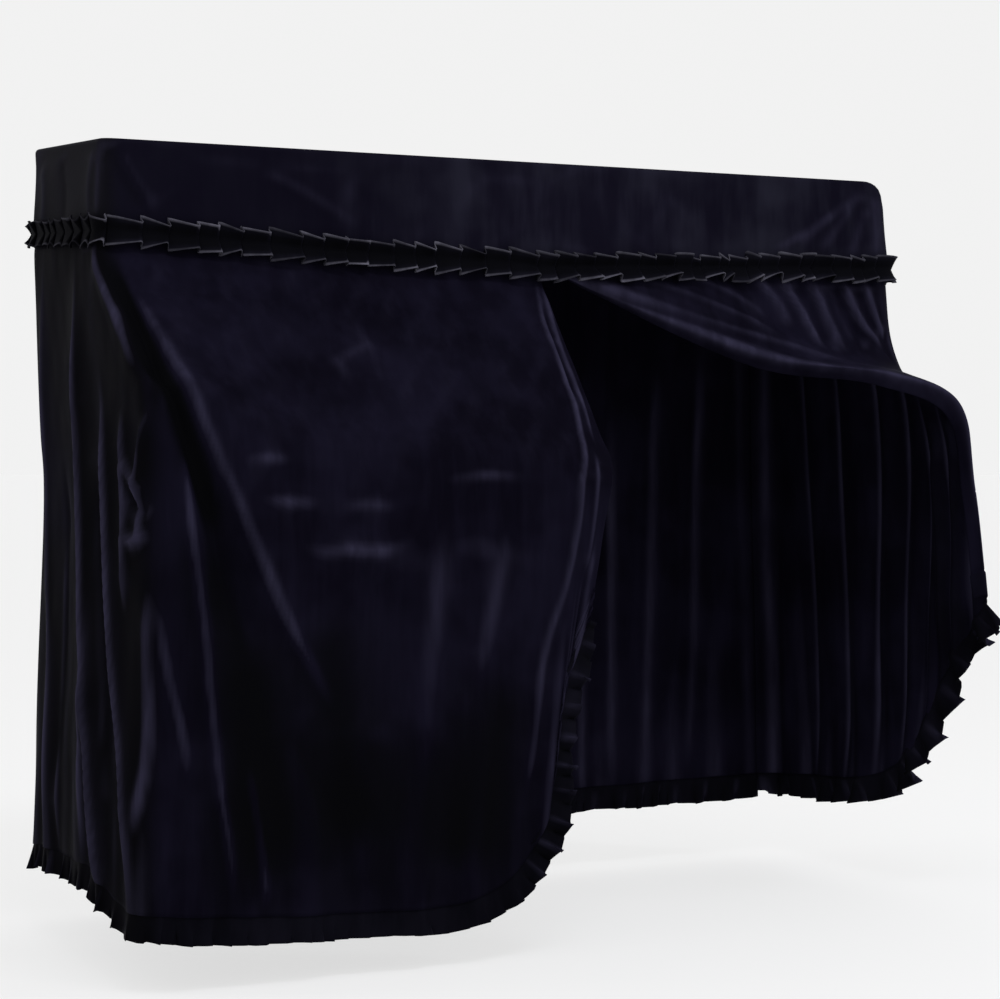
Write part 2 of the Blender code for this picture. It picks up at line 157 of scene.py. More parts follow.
ARM_LIFT = 0.020          # the swept cloth stands this high over the arm's inner edge
SHIN_FULL = 0.010         # and hangs this much full below the arm
UNDER_SEAM = 0.030        # the skirt leaves the seam straight down for this far
UNDER_STAND = 0.003       # and stands this much proud of it there

# %% [markdown]
# ## Camera, floor and light
#
# The camera stands far off with a long lens, level, turned towards the cover's left front
# corner. A studio shows black velvet with large soft lights: one high in front, so that
# sloping cloth is a little lighter than hanging cloth, and a strip on each side that adds
# a little light on the folds. Their thin pale lines are painted highlights in the velvet's
# colour. Velvet is darkest where it is looked at straight on.

# %% Camera, floor and lights
CAMERA_PLACE = (-1.834, -3.9076, -0.4869)
CAMERA_TURN = -25.8
CAMERA_LENS = 85.29
FLOOR_HEIGHT = -1.331

camera_data = bpy.data.cameras.new("view")
camera_data.lens = CAMERA_LENS
camera_data.sensor_width = 36.0
camera_data.shift_y = -0.0571
camera = bpy.data.objects.new("view", camera_data)
camera.location = CAMERA_PLACE
camera.rotation_euler = (math.radians(90), 0.0, math.radians(CAMERA_TURN))
bpy.context.scene.collection.objects.link(camera)
bpy.context.scene.camera = camera


def soft_light(name, place, aim, size, power, colour=(1.0, 1.0, 1.0)):
    """A square lamp at a place, turned to face a point."""
    data = bpy.data.lights.new(name, "AREA")
    data.shape = "RECTANGLE"
    data.size, data.size_y = size
    data.energy = power
    data.color = colour
    lamp = bpy.data.objects.new(name, data)
    lamp.location = place
    turn = (Vector(aim) - Vector(place)).to_track_quat("-Z", "Y")
    lamp.rotation_euler = turn.to_euler()
    bpy.context.scene.collection.objects.link(lamp)


soft_light("high_front", (-0.2, -2.6, 3.0), (0.0, -0.2, -0.5), (2.4, 0.9), 75, (0.92, 0.93, 1.0))
soft_light("left_strip", (-3.2, 0.5, 0.5), (-0.7, 0.0, -0.6), (0.45, 2.4), 12)
soft_light("right_strip", (3.0, -2.2, 0.9), (0.4, -0.2, -0.4), (0.45, 2.4), 42, (0.92, 0.93, 1.0))

world = bpy.data.worlds.new("studio")
world.use_nodes = True
world.node_tree.nodes["Background"].inputs["Color"].default_value = (0.885, 0.885, 0.885, 1)
world.node_tree.nodes["Background"].inputs["Strength"].default_value = 1.0
bpy.context.scene.world = world
bpy.context.scene.view_settings.view_transform = "Standard"

form = bmesh.new()
bmesh.ops.create_circle(form, cap_ends=True, segments=96, radius=60.0)
floor_mesh = bpy.data.meshes.new("floor")
form.to_mesh(floor_mesh)
form.free()
floor = bpy.data.objects.new("floor", floor_mesh)
floor.location = (0.0, 0.0, FLOOR_HEIGHT)
bpy.context.scene.collection.objects.link(floor)
floor_paint = bpy.data.materials.new("pale_floor")
floor_paint.use_nodes = True
floor_shader = floor_paint.node_tree.nodes["Principled BSDF"]
floor_shader.inputs["Base Color"].default_value = (0.20, 0.20, 0.20, 1)
floor_shader.inputs["Emission Color"].default_value = (1.0, 1.0, 1.0, 1)
floor_shader.inputs["Emission Strength"].default_value = 0.672
floor_shader.inputs["Roughness"].default_value = 0.8
floor_shader.inputs["Specular IOR Level"].default_value = 0.1
floor_mesh.materials.append(floor_paint)

# %% [markdown]
# ## A smooth surface through the drop lines
#
# Cloth under its own weight runs in smooth curves between the places that hold it. A
# centripetal curve passes through each given point and doesn't loop where points lie
# close together, so it suits both a drop line and the way from one drop line to the
# next. Curves down and curves across together give the whole skirt.

# %% Curves through points


def spline(points, places):
    """Points of a smooth centripetal curve, at places counted along the given points.
    Each given point may be a whole row of points, and then a row of curves comes out."""
    points = np.asarray(points, float)
    last = len(points) - 1
    padded = np.concatenate(
        [2 * points[:1] - points[1:2], points, 2 * points[-1:] - points[-2:-1]])
    steps = np.linalg.norm(np.diff(padded, axis=0), axis=-1, keepdims=True)
    knots = np.cumsum(np.maximum(steps, 1e-9) ** 0.5, axis=0)
    knots = np.concatenate([np.zeros_like(knots[:1]), knots])
    found = []
    for place in places:
        index = min(int(place), last - 1)
        near, knot = padded[index:index + 4], knots[index:index + 4]
        at = knot[1] + (place - index) * (knot[2] - knot[1])

        def mix(low, high, start, end):
            return ((knot[high] - at) * start + (at - knot[low]) * end) / (
                knot[high] - knot[low])

        one, two, three = (mix(i, i + 1, near[i], near[i + 1]) for i in range(3))
        found.append(mix(1, 2, mix(0, 2, one, two), mix(1, 3, two, three)))
    return np.array(found)


def unit(vectors):
    return vectors / np.maximum(np.linalg.norm(vectors, axis=-1, keepdims=True), 1e-9)


def reach_along(points):
    """How far each of a row of points lies along it."""
    return np.concatenate([[0.0], np.cumsum(np.linalg.norm(np.diff(points, axis=0), axis=1))])


def follow(points, reach, at):
    """What a row of points comes to at these distances along it."""
    return np.stack([np.interp(at, reach, column) for column in points.T], axis=1)


def even_places(lengths, count):
    """Places along a row of steps of these lengths, so that the spaces come out even."""
    reach = np.concatenate([[0.0], np.cumsum(lengths)])
    return np.interp(np.linspace(0.0, reach[-1], count), reach, np.arange(len(reach)))


def soft_step(value, low, high):
    """0 up to low, 1 past high, and a soft step between."""
    t = np.clip((value - low) / (high - low), 0.0, 1.0)
    return t * t * (3 - 2 * t)


print("a quarter of the way along three points:",
      spline([(0, 0, 0), (1, 0, 0), (1, 1, 0)], [0.5])[0].round(3))

# %% One drop line, from its row in the table


def outward(degrees):
    angle = np.radians(degrees)
    return np.array([np.cos(angle), np.sin(angle), 0.0])


def drop_line(faces, sizes):
    """Seam, just under it, half way, at rest on the arm, knee, shin and hem."""

    def place(part):
        return np.array([sizes[part + axis] for axis in ("_x", "_y", "_z")])

    out = outward(faces)
    x, y = sizes["seam_x"], sizes["seam_y"]
    up = np.array([0.0, 0.0, 1.0])
    seam = np.array([x, y, seam_height(x, y) - SEAM_GAP * 3 / 4])
    knee, hem = place("knee"), place("hem")
    half = (seam + UNDER_STAND * out - UNDER_SEAM * up + knee) / 2
    lean = 0.0
    if "half_x" in sizes:
        half = place("half")
        lean = min(abs(half[0] - x) / LEAN_FULL, 1.0)
    slant = (half - seam) / np.linalg.norm(half - seam)
    under = seam + UNDER_SEAM * slant * lean + (UNDER_STAND * out - UNDER_SEAM * up) * (1 - lean)
    rest = half * 0.35 + knee * 0.65 + ARM_LIFT * lean * up
    shin = knee * 0.55 + hem * 0.45 + SHIN_FULL * lean * np.array([1.0, 0.0, 0.0])
    return np.array([seam, under, half, rest, knee, shin, hem])


def skirt_lines(columns, drops):
    lines = []
    for name, faces, *row in drops:
        sizes = {column: size / MILLIMETRES for column, size in zip(columns.split(), row)}
        lines.append(drop_line(faces, sizes))
    return np.array(lines)


# %% [markdown]
# ## A sheet of cloth and its folds
#
# A sheet is kept as a grid of places with the way out from the cloth at each. Folds are
# lifted or sunk along that way before any mesh is made, so that several folds can cross
# and add up, as they do in real cloth. A fold follows a short path on the front, back,
# left or right of the cover. It has a narrow crest and falls away from it, faster on one
# side than on the other if the cloth is pulled that way. Painted light, a highlight along
# each ridge, is worked out from the folds, and more painted highlight and shade is added
# along paths of the same kind.

# %% The grid of a sheet

# For each side of the cover: the axis that runs across it, and the way that it faces.
SIDES = {
    "front": (0, np.array([0.0, -1.0, 0.0])),
    "back": (0, np.array([0.0, 1.0, 0.0])),
    "left": (1, np.array([-1.0, 0.0, 0.0])),
    "right": (1, np.array([1.0, 0.0, 0.0])),
}
# A row of a fold table is side, height, low, high, crest and path, in millimetres. A row
# of a table of tones has an amount in place of the height, where 1 paints a full highlight
# and -1 paints full shade. A last number is the share of the path over which each end fades.


class Sheet:
    """Places of a cloth's middle, [along, down], and how far each is lifted outwards."""

    def __init__(self, places, turn=1.0, ring=False):
        self.base = places
        self.lift = np.zeros(places.shape[:2])
        # painted highlight and shade along paths
        self.path_light = np.zeros(places.shape[:2])
        along = np.gradient(places, axis=0)
        if ring:
            along[0] = along[-1] = (places[1] - places[-2]) / 2
        down = np.gradient(places, axis=1)
        out = unit(np.cross(down, along) * turn)
        # threads that crowd together at a curved hem can cross, and outwards is kept
        # outwards there
        same = np.where((out[1:] * out[:-1]).sum(axis=-1) < 0, -1.0, 1.0)
        out[1:] *= np.cumprod(same, axis=0)[..., None]
        self.out = out

    def facing(self, side):
        """1 where the cloth faces that side of the cover, 0 where it faces away."""
        return soft_step(self.out @ SIDES[side][1], 0.10, 0.50)

    def chart(self, side):
        """Across and height of every place, as seen square on from that side."""
        return self.base[..., SIDES[side][0]], self.base[..., 2]

    def near(self, side, low, high, crest, path, fade=0.22):
        """1 on a path, falling to 0 away from it and towards its ends. low and high are
        how far it reaches towards lower and higher places across."""
        across, up = self.chart(side)
        flat = [(a, b, 0.0) for a, b in path]
        line = spline(flat, np.linspace(0, len(path) - 1, 6 * (len(path) - 1) + 1))[:, :2]
        steps = np.diff(line, axis=0)
        lengths = np.linalg.norm(steps, axis=1)
        reach = reach_along(line)
        best = np.full(across.shape, 1e9)
        run = np.zeros_like(best)
        turn = np.zeros_like(best)
        for start, step, length, so_far in zip(line, steps, lengths, reach):
            dx, dz = across - start[0], up - start[1]
            t = np.clip((dx * step[0] + dz * step[1]) / length ** 2, 0.0, 1.0)
            gap = np.hypot(dx - t * step[0], dz - t * step[1])
            closer = gap < best
            best = np.where(closer, gap, best)
            run = np.where(closer, (so_far + t * length) / reach[-1], run)
            turn = np.where(closer, dx * step[1] - dz * step[0], turn)
        # a path that runs down the cloth has lower places across on its turn > 0 side
        wide = low + (high - low) * soft_step(-turn / (best + 1e-6), -0.2 * length, 0.2 * length)
        shape = np.exp(-(np.sqrt(best ** 2 + crest ** 2) - crest) / wide)
        ends = soft_step(run, 0.0, fade) * (1 - soft_step(run, 1.0 - fade, 1.0))
        return shape * ends * self.facing(side)

    def near_row(self, side, low, high, crest, path, *fade):
        """near() for a table's row, which is in millimetres."""
        low, high, crest = (size / MILLIMETRES for size in (low, high, crest))
        path = [(across / MILLIMETRES, up / MILLIMETRES) for across, up in path]
        return self.near(side, low, high, crest, path, *fade)

    def folds(self, table):
        """Lift a ridge, or sink a trough where the height is negative, for each row."""
        for side, height, *rest in table:
            self.lift += height / MILLIMETRES * self.near_row(side, *rest)

    def brush(self, table):
        """Paint a highlight along each row, or shade where the amount is negative."""
        for side, amount, *rest in table:
            self.path_light += amount * self.near_row(side, *rest)

    def calm_at_seam(self, share):
        """Let every fold grow from nothing over this share of the drop."""
        self.lift *= soft_step(np.linspace(0.0, 1.0, self.lift.shape[1]), 0.0, share)

    def places(self):
        return self.base + self.out * self.lift[..., None]

    def painted_light(self, shape=None):
        """Painted light: 1 a full painted highlight along a ridge, 0 plain, -1 painted shade.
        Each place is compared with the middle of its neighbours a few steps away, and the
        painted light along paths is added."""
        shape = self.out * self.lift[..., None] if shape is None else shape
        found = np.zeros(self.lift.shape)
        for axis in (0, 1):
            room = [(0, 0)] * 3
            room[axis] = (RIDGE_SPAN, RIDGE_SPAN)
            padded, spaced = (np.pad(grid, room, mode="reflect", reflect_type="odd")
                              for grid in (shape, self.base))
            here = np.arange(shape.shape[axis])
            sides = (here, here + 2 * RIDGE_SPAN)
            before, after = (np.take(padded, side, axis=axis) for side in sides)
            ends = [np.take(spaced, side, axis=axis) for side in sides]
            rise = ((shape - (before + after) / 2) * self.out).sum(axis=-1)
            reach = np.linalg.norm(ends[1] - ends[0], axis=-1) / 2
            found = np.maximum(found, rise / np.maximum(reach, 1e-6))
        found = np.clip(found / RIDGE_FULL, 0.0, 1.0)
        wide = np.pad(found, 1, mode="edge")
        around = wide[:-2, 1:-1] + wide[2:, 1:-1] + wide[1:-1, :-2] + wide[1:-1, 2:]
        return np.clip((found * 2 + around) / 6 * 1.15 + self.path_light, -1.0, 1.0)


RIDGE_FULL = 0.32         # rise over reach at which the painted ridge highlight is full
RIDGE_SPAN = 2            # steps on each side that a place is compared with

# %% [markdown]
# ## From grid to mesh
#
# Each sheet starts as one flat grid from `bmesh.ops.create_grid`, which also gives it an
# even UV map from 0 to 1. Its corners are then put in place, so the mesh stays in neat
# rows, as the threads of the cloth do. The Solidify modifier gives the cloth its
# thickness, with a rim at every free edge.

# %% Make a piece from a sheet
JOIN_WITHIN = 0.00005     # the two ends of a closed strip are joined within this


def cloth_piece(name, places, thickness, material, nodes, ring=False, painted_light=None):
    """A cloth piece at these places. ring joins its two ends. The last argument is its
    painted light, from -1 for painted shade to 1 for a full painted highlight."""
    across, down = places.shape[0] - 1, places.shape[1] - 1
    form = bmesh.new()
    form.loops.layers.uv.new("UVMap")
    bmesh.ops.create_grid(
        form, x_segments=across, y_segments=down, size=0.5, calc_uvs=True)
    mesh = bpy.data.meshes.new(name)
    form.to_mesh(mesh)
    form.free()
    flat = np.empty(len(mesh.vertices) * 3, np.float32)
    mesh.vertices.foreach_get("co", flat)
    flat = flat.reshape(-1, 3)
    column = np.rint((flat[:, 0] + 0.5) * across).astype(int)
    row = np.rint((0.5 - flat[:, 1]) * down).astype(int)
    mesh.vertices.foreach_set("co", places[column, row].astype(np.float32).ravel())
    if painted_light is not None:
        layer = mesh.attributes.new("painted_light", "FLOAT", "POINT")
        layer.data.foreach_set("value", painted_light[column, row].astype(np.float32))
    if ring:
        form = bmesh.new()
        form.from_mesh(mesh)
        bmesh.ops.remove_doubles(form, verts=form.verts, dist=JOIN_WITHIN)
        form.to_mesh(mesh)
        form.free()
    mesh.shade_smooth()
    mesh.materials.append(material)
    piece = bpy.data.objects.new(name, mesh)
    bpy.context.scene.collection.objects.link(piece)
    solid = piece.modifiers.new("cloth", "SOLIDIFY")
    solid.thickness = thickness
    solid.offset = 0.0
    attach(piece, "root")
    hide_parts(*nodes)
    print(f"{name}: {len(mesh.polygons)} faces, {cloth_area(places):.3f} square metres")
    return piece


def cloth_area(places):
    """Area of one layer of a sheet."""
    one = places[1:, 1:] - places[:-1, :-1]
    two = places[:-1, 1:] - places[1:, :-1]
    return float(np.linalg.norm(np.cross(one, two), axis=-1).sum() / 2)


# %% [markdown]
# ## Shader maths as Python
#
# The velvet's pattern is a sum of soft noises, mixed with how the pile stands. Written as
# Python expressions on sockets, it reads like the formula that it is. The small class
# below wraps a socket: adding or multiplying two of them adds a Math node.

# %% A class that wraps a socket


class Wire:
    def __init__(self, tree, socket):
        self.tree = tree
        self.socket = socket

    def node(self, kind, settings=None, values=None, out=0):
        """Any node: its type, its settings, then the values or links of its sockets."""
        made = self.tree.nodes.new(kind)
        for name, value in (settings or {}).items():
            setattr(made, name, value)
        for name, value in (values or {}).items():
            if isinstance(value, Wire):
                self.tree.links.new(value.socket, made.inputs[name])
            else:
                made.inputs[name].default_value = value
        return Wire(self.tree, made.outputs[out])

    def maths(self, operation, first, second, clamp=False):
        settings = {"operation": operation, "use_clamp": clamp}
        return self.node("ShaderNodeMath", settings, {0: first, 1: second})

    def __add__(self, other):
        return self.maths("ADD", self, other)

    def __mul__(self, other):
        return self.maths("MULTIPLY", self, other)

    def __rsub__(self, other):
        return self.maths("SUBTRACT", other, self)

    __radd__ = __add__
    __rmul__ = __mul__

    def part(self, axis):
        """One of the X, Y and Z of a vector."""
        return self.node("ShaderNodeSeparateXYZ", {}, {0: self}, "XYZ".index(axis))

    def step(self, low, high):
        """0 below low and 1 above high, softly."""
        return self.node(
            "ShaderNodeMapRange", {"interpolation_type": "SMOOTHSTEP"},
            {"Value": self, "From Min": low, "From Max": high})

    def noise(self, scale, detail=2.0, roughness=0.5):
        return self.node(
            "ShaderNodeTexNoise", {"noise_dimensions": "3D"},
            {"Vector": self, "Scale": scale, "Detail": detail, "Roughness": roughness})

    def stretch(self, x, y, z=1.0):
        return self.node(
            "ShaderNodeMapping", {"vector_type": "POINT"}, {"Vector": self, "Scale": (x, y, z)})

    def blend(self, first, second):
        """Colour first where this is 0, colour second where it is 1."""
        return self.node(
            "ShaderNodeMix", {"data_type": "RGBA"}, {0: self, 6: first, 7: second}, 2)


def start_material(name):
    """A new material, its Principled shader, and wires for object places and UVs."""
    material = bpy.data.materials.new(name)
    material.use_nodes = True
    tree = material.node_tree
    places = tree.nodes.new("ShaderNodeTexCoord")
    shader = tree.nodes["Principled BSDF"]
    return material, shader, Wire(tree, places.outputs["Object"]), Wire(tree, places.outputs["UV"])


# %% [markdown]
# ## Velvet
#
# Velvet is a short upright pile on a woven ground. Looked at straight on it swallows the
# light, and where the cloth turns sharply the pile glows, so each fold is dark with a thin
# pale line along its turn. The Principled shader's Sheen alone would brighten whole slopes,
# so it is kept weak, and the pale line is a painted highlight in the colour, worked out
# from how sharply the sheet turns and from painted paths, which also paint shade in some
# hollows. Where a hand has brushed the pile, it lies the other way, and its soft clouds are
# painted paler or bluer as sheen. The cover's left side is painted a greyer colour for the
# way light falls there.

# %% The velvet material
PILE_DEEP = (0.0024, 0.0020, 0.0046, 1.0)
# the brushed pile's colour, painted paler and bluer as sheen
PILE_BRUSHED_SHEEN = (0.0054, 0.0047, 0.0108, 1.0)
# painted highlight colour along ridges
RIDGE_HIGHLIGHT = (0.024, 0.022, 0.042, 1.0)
# the left side's colour, painted greyer for the light that falls there
SIDE_LIGHT_COLOUR = (0.0021, 0.0020, 0.0028, 1.0)
# painted shade colour
PAINTED_SHADE = (0.0018, 0.0018, 0.0024, 1.0)
# the ruffle's paler cut edge, with a painted highlight
EDGE_WEAVE_AND_HIGHLIGHT = (0.130, 0.126, 0.160, 1.0)
SIDE_ENDS = (-0.762, -0.722)   # the left side's colour, painted greyer for the light there, gives way between these
THREADS = 700.0           # threads in a metre


def velvet(name, deep, brushed_sheen, turned, size, bump=1.0, fade_left=None, side=SIDE_LIGHT_COLOUR):
    """deep is the pile's plain colour, and the next is the colour of clouds where the pile
    lies the other way, painted paler as sheen. turned is the painted highlight colour along
    a ridge. size is the cloth's width and length, in metres. fade_left is where, from the
    left end, the painted sheen clouds grow from few to many, so that end stays darker.
    side is the colour of the cover's left side, painted greyer for the light that falls there."""
    material, shader, where, uv = start_material(name)
    # clouds and streaks where the pile lies the other way, painted paler as sheen
    cloud = where.noise(5.0, 3.0, 0.55).step(0.40, 0.66)
    streak = where.stretch(26.0, 26.0, 4.0).noise(1.0, 3.0, 0.6).step(0.38, 0.70)
    brush = cloud * 0.65 + streak * 0.35
    # fewer painted sheen clouds towards the left end
    if fade_left is not None:
        brush = brush * (0.15 + 0.85 * where.part("X").step(*fade_left))
    colour = brush.blend(deep, brushed_sheen)
    # the left side is painted a greyer colour for the light that falls there
    colour = where.part("X").step(*SIDE_ENDS).blend(side, colour)
    # the sheet's painted light: a painted highlight along ridges, broken by streaks
    painted_light = where.node("ShaderNodeAttribute", {"attribute_name": "painted_light"}, {}, 2)
    ridge = where.maths("MULTIPLY", painted_light, 0.50 + 0.50 * streak, clamp=True)
    # painted shade where the painted light is below zero
    flat = (0.0 - painted_light).step(0.0, 1.0)
    colour = flat.blend(ridge.blend(colour, turned), PAINTED_SHADE)
    threads = uv.stretch(size[0] * THREADS, size[1] * THREADS)
    height = threads.noise(1.0, 2.0, 0.6) * 0.10 + where.noise(60.0, 3.0, 0.55) * 0.55
    bumped = where.node(
        "ShaderNodeBump", {}, {"Strength": 0.35 * bump, "Distance": 0.0015, "Height": height})
    rough = 0.46 + brush * 0.16
    tree = material.node_tree
    tree.links.new(colour.socket, shader.inputs["Base Color"])
    tree.links.new(rough.socket, shader.inputs["Roughness"])
    tree.links.new(bumped.socket, shader.inputs["Normal"])
    shader.inputs["Specular IOR Level"].default_value = 0.002
    shader.inputs["Sheen Weight"].default_value = 0.010
    shader.inputs["Sheen Roughness"].default_value = 0.28
    shader.inputs["Sheen Tint"].default_value = (0.55, 0.52, 0.90, 1.0)
    return material


print("pile colours:", PILE_DEEP[:3], PILE_BRUSHED_SHEEN[:3])

# %% [markdown]
# ## The crown
#
# The crown is a lid panel and a side band, seamed round the top edge. The band's upper
# edge turns in over the lid with a small radius, and the seam lies just inside it, as a
# fine groove. The lid of a piano is flat, so the panel is too, but at the right end it
# rolls over, and at the back left corner it is lifted a little by the seam's bulk.

# %% The crown's shape
TOP_TURN = 0.007          # radius of the turn at the top of the band
LID_INSET = 0.0095        # where the seam lies, in from the band's face
LID_GAP = 0.0006          # between the band's edge and the lid panel's
SEAM_SINK = 0.0012        # both edges dip this far into the seam


def lid_height(x, y):
    lift = REAR_LIFT * ((y + HALF_DEPTH) / (2 * HALF_DEPTH)) * (0.5 - 0.5 * x / HALF_LENGTH)
    past = np.clip(x - (HALF_LENGTH - END_ROLL), 0.0, END_ROLL)
    droop = END_ROLL - np.sqrt(END_ROLL ** 2 - past ** 2)
    return VELVET_THICK / 2 + np.maximum(lift, 0.0) * (1 - past / END_ROLL) - droop


def outline(count):
    """Round the crown from above: x, y and facing, from the back middle over the left,
    the front and the right to the back again, evenly spaced."""
    wide, deep = HALF_LENGTH - CORNER_RADIUS, HALF_DEPTH - CORNER_RADIUS
    stops = [(0.0, HALF_DEPTH, 90.0)]
    for x, y, facing in ((-wide, deep, 90), (-wide, -deep, 180), (wide, -deep, 270),
                         (wide, deep, 360)):
        for turned in np.linspace(facing, facing + 90, 13):
            way = outward(turned)
            stops.append((x + CORNER_RADIUS * way[0], y + CORNER_RADIUS * way[1], turned))
    stops.append((0.0, HALF_DEPTH, 450.0))
    stops = np.array(stops)
    reach = reach_along(stops[:, :2])
    return follow(stops, reach, np.linspace(0.0, reach[-1], count))


def band_foot(stops):
    """The foot of the band, where the ruffle is sewn on."""
    x, y, facing = stops.T
    flare = np.clip((x - FLARE_FROM) / (HALF_LENGTH - FLARE_FROM), 0.0, 1.0)
    spread = BAND_EASE + FLARE * flare
    way = np.stack([np.cos(np.radians(facing)), np.sin(np.radians(facing))], axis=1)
    place = np.stack([x, y], axis=1) + spread[:, None] * way
    return np.column_stack([place, seam_height(x, y) + SEAM_GAP / 4]), way


# %% The side band of the crown
BAND_ALONG, BAND_DOWN = 460, 34
stops = outline(BAND_ALONG)
foot, way = band_foot(stops)
x, y = stops[:, 0], stops[:, 1]
TURN_STEPS = 7
rows = []
for i in range(TURN_STEPS):
    angle = math.radians(90 * i / (TURN_STEPS - 1))
    inset = LID_INSET if i == 0 else TOP_TURN * (1 - math.sin(angle))
    sink = TOP_TURN * (1 - math.cos(angle)) if i else SEAM_SINK
    inner = np.stack([x, y], axis=1) - inset * way
    rows.append(np.column_stack([inner, lid_height(inner[:, 0], inner[:, 1]) - sink]))
side_top = np.column_stack([x, y, lid_height(x, y) - TOP_TURN])
for t in np.linspace(0.0, 1.0, BAND_DOWN)[1:]:
    rows.append(side_top * (1 - t) + foot * t)
band = Sheet(np.stack(rows, axis=1), turn=1.0, ring=True)
print("band faces front at its middle:", band.out[BAND_ALONG // 2, -5].round(2))

# %% Creases of the band, and its painted highlights and shade
CROWN_FOLDS = (
    # side, height, low, high, crest, path
    ("front", -4, 10, 12, 4, ((-752, -3), (-728, -50), (-690, -115))),
    ("front", 3, 14, 30, 6, ((-740, -10), (-705, -60), (-660, -120))),
    ("front", 3.5, 12, 40, 4, ((-490, -34), (-401, -75), (-308, -128))),
    ("front", -3, 30, 30, 8, ((-330, -50), (-260, -100), (-210, -150))),
    ("front", 3, 40, 60, 10, ((-120, -30), (-60, -90), (-20, -150))),
    ("front", -3, 50, 50, 10, ((60, -20), (100, -80), (90, -150))),
    ("front", 2.8, 30, 50, 8, ((300, -30), (260, -90), (210, -150))),
    ("front", 4, 10, 20, 3, ((680, -30), (620, -75), (550, -130))),
    ("front", 4, 10, 16, 3, ((700, -12), (655, -70), (600, -140))),
    ("front", 3, 10, 12, 3, ((640, -55), (590, -90), (500, -140))),
    ("front", 4, 8, 14, 3, ((728, -20), (725, -80), (722, -150))),
    ("front", 3, 8, 12, 3, ((710, -40), (690, -90), (668, -150))),
    ("left", 3, 20, 20, 6, ((150, 0), (130, -60), (140, -120))),
    ("left", -3, 30, 20, 6, ((20, 0), (0, -70), (10, -130))),
    ("left", 2.5, 12, 20, 4, ((-180, 0), (-150, -70), (-160, -140))),
    ("right", 3.5, 14, 20, 4, ((-190, -60), (-120, -100), (-60, -150))),
    ("right", 3.5, 16, 20, 4, ((120, -60), (90, -110), (100, -150))),
    ("back", 3, 40, 50, 8, ((-400, 0), (-350, -60), (-360, -130))),
    ("back", -3, 50, 40, 8, ((250, -10), (300, -70), (280, -140))),
)
# Painted light along paths: a highlight strip down the left side by the front corner, a paler patch at
# the back of the left side, a painted shadow band along the front left corner and a faint lighter band
# across the front
CROWN_TONES = (
    # side, amount, low, high, crest, path
    ("left", 0.45, 7, 7, 3, ((-200, 10), (-196, -50), (-186, -130))),
    ("left", 0.16, 24, 20, 16, ((170, 30), (180, -30), (170, -80))),
    ("front", -0.35, 16, 16, 10, ((-745, -5), (-725, -50), (-680, -130))),
    ("front", 0.07, 100, 100, 60, ((-300, -70), (0, -80), (400, -80))),
)
band.folds(CROWN_FOLDS)
band.brush(CROWN_TONES)

# %% Ripples, and the band's mesh


def ripple(sheet, seed, size, height, stretch=(1.0, 1.0)):
    """Slight unevenness all over a sheet: a few long waves that cross each other."""
    draw = np.random.default_rng(seed)
    x, y, z = (sheet.base[..., i] for i in range(3))
    total = 0.0
    for wave in range(9):
        phase = draw.uniform(0, 2 * np.pi, 2)[0]
        way = unit(draw.normal(size=3))
        length = size * draw.uniform(0.6, 1.8)
        run = (x * way[0] + y * way[1]) * stretch[0] + z * way[2] * stretch[1]
        total = total + np.sin(2 * np.pi * run / length + phase)
    sheet.lift += height * total / 3


ripple(band, 11, 0.22, 0.0012)
band_row = np.arange(band.lift.shape[1])
foot_row = TURN_STEPS + BAND_DOWN - 1
calm_at_top = soft_step(band_row, 5, 12)
calm_at_foot = 1 - soft_step(band_row, foot_row - 5, foot_row)
band.lift *= calm_at_top * (0.35 + 0.65 * calm_at_foot)

# The crown: greyer clouds painted as sheen, fewer at its darker left end, and a greyer colour painted on
# its left side for the light there
velvet_crown = velvet("velvet_crown", (0.0034, 0.0029, 0.0066, 1), (0.0100, 0.0098, 0.0165, 1),
                      RIDGE_HIGHLIGHT, (3.88, 0.17), fade_left=(-0.55, -0.05),
                      side=(0.0046, 0.0044, 0.0060, 1.0))
crown_band = cloth_piece(
    "crown_side_band", band.places(), VELVET_THICK, velvet_crown, ["crown_band"],
    ring=True, painted_light=band.painted_light())

# %% The lid panel of the crown
LID_ALONG, LID_ACROSS = 190, 60
a, b = np.meshgrid(np.linspace(-1, 1, LID_ALONG), np.linspace(1, -1, LID_ACROSS), indexing="ij")
EDGE_ROOM = LID_INSET + LID_GAP
half_length, half_depth = HALF_LENGTH - EDGE_ROOM, HALF_DEPTH - EDGE_ROOM
radius = CORNER_RADIUS - EDGE_ROOM
x, y = half_length * a, half_depth * b
over_x, over_y = np.abs(x) - (half_length - radius), np.abs(y) - (half_depth - radius)
corner = (over_x > 0) & (over_y > 0)
pull = np.where(corner, np.maximum(over_x, over_y) / np.maximum(np.hypot(over_x, over_y), 1e-9), 1)
x = np.where(corner, np.sign(x) * (half_length - radius + over_x * pull), x)
y = np.where(corner, np.sign(y) * (half_depth - radius + over_y * pull), y)
lid = Sheet(np.stack([x, y, lid_height(x, y)], axis=-1))
if lid.out[LID_ALONG // 2, LID_ACROSS // 2, 2] < 0:
    lid.out = -lid.out
ripple(lid, 12, 0.30, 0.0010)
edge = np.minimum(half_length - np.abs(x), half_depth - np.abs(y))
lid.lift = lid.lift * soft_step(edge, 0.0, 0.05) - SEAM_SINK * (1 - soft_step(edge, 0.0, 0.006))
crown_lid = cloth_piece(
    "crown_lid_panel", lid.places(), VELVET_THICK, velvet_crown, ["crown_top"])

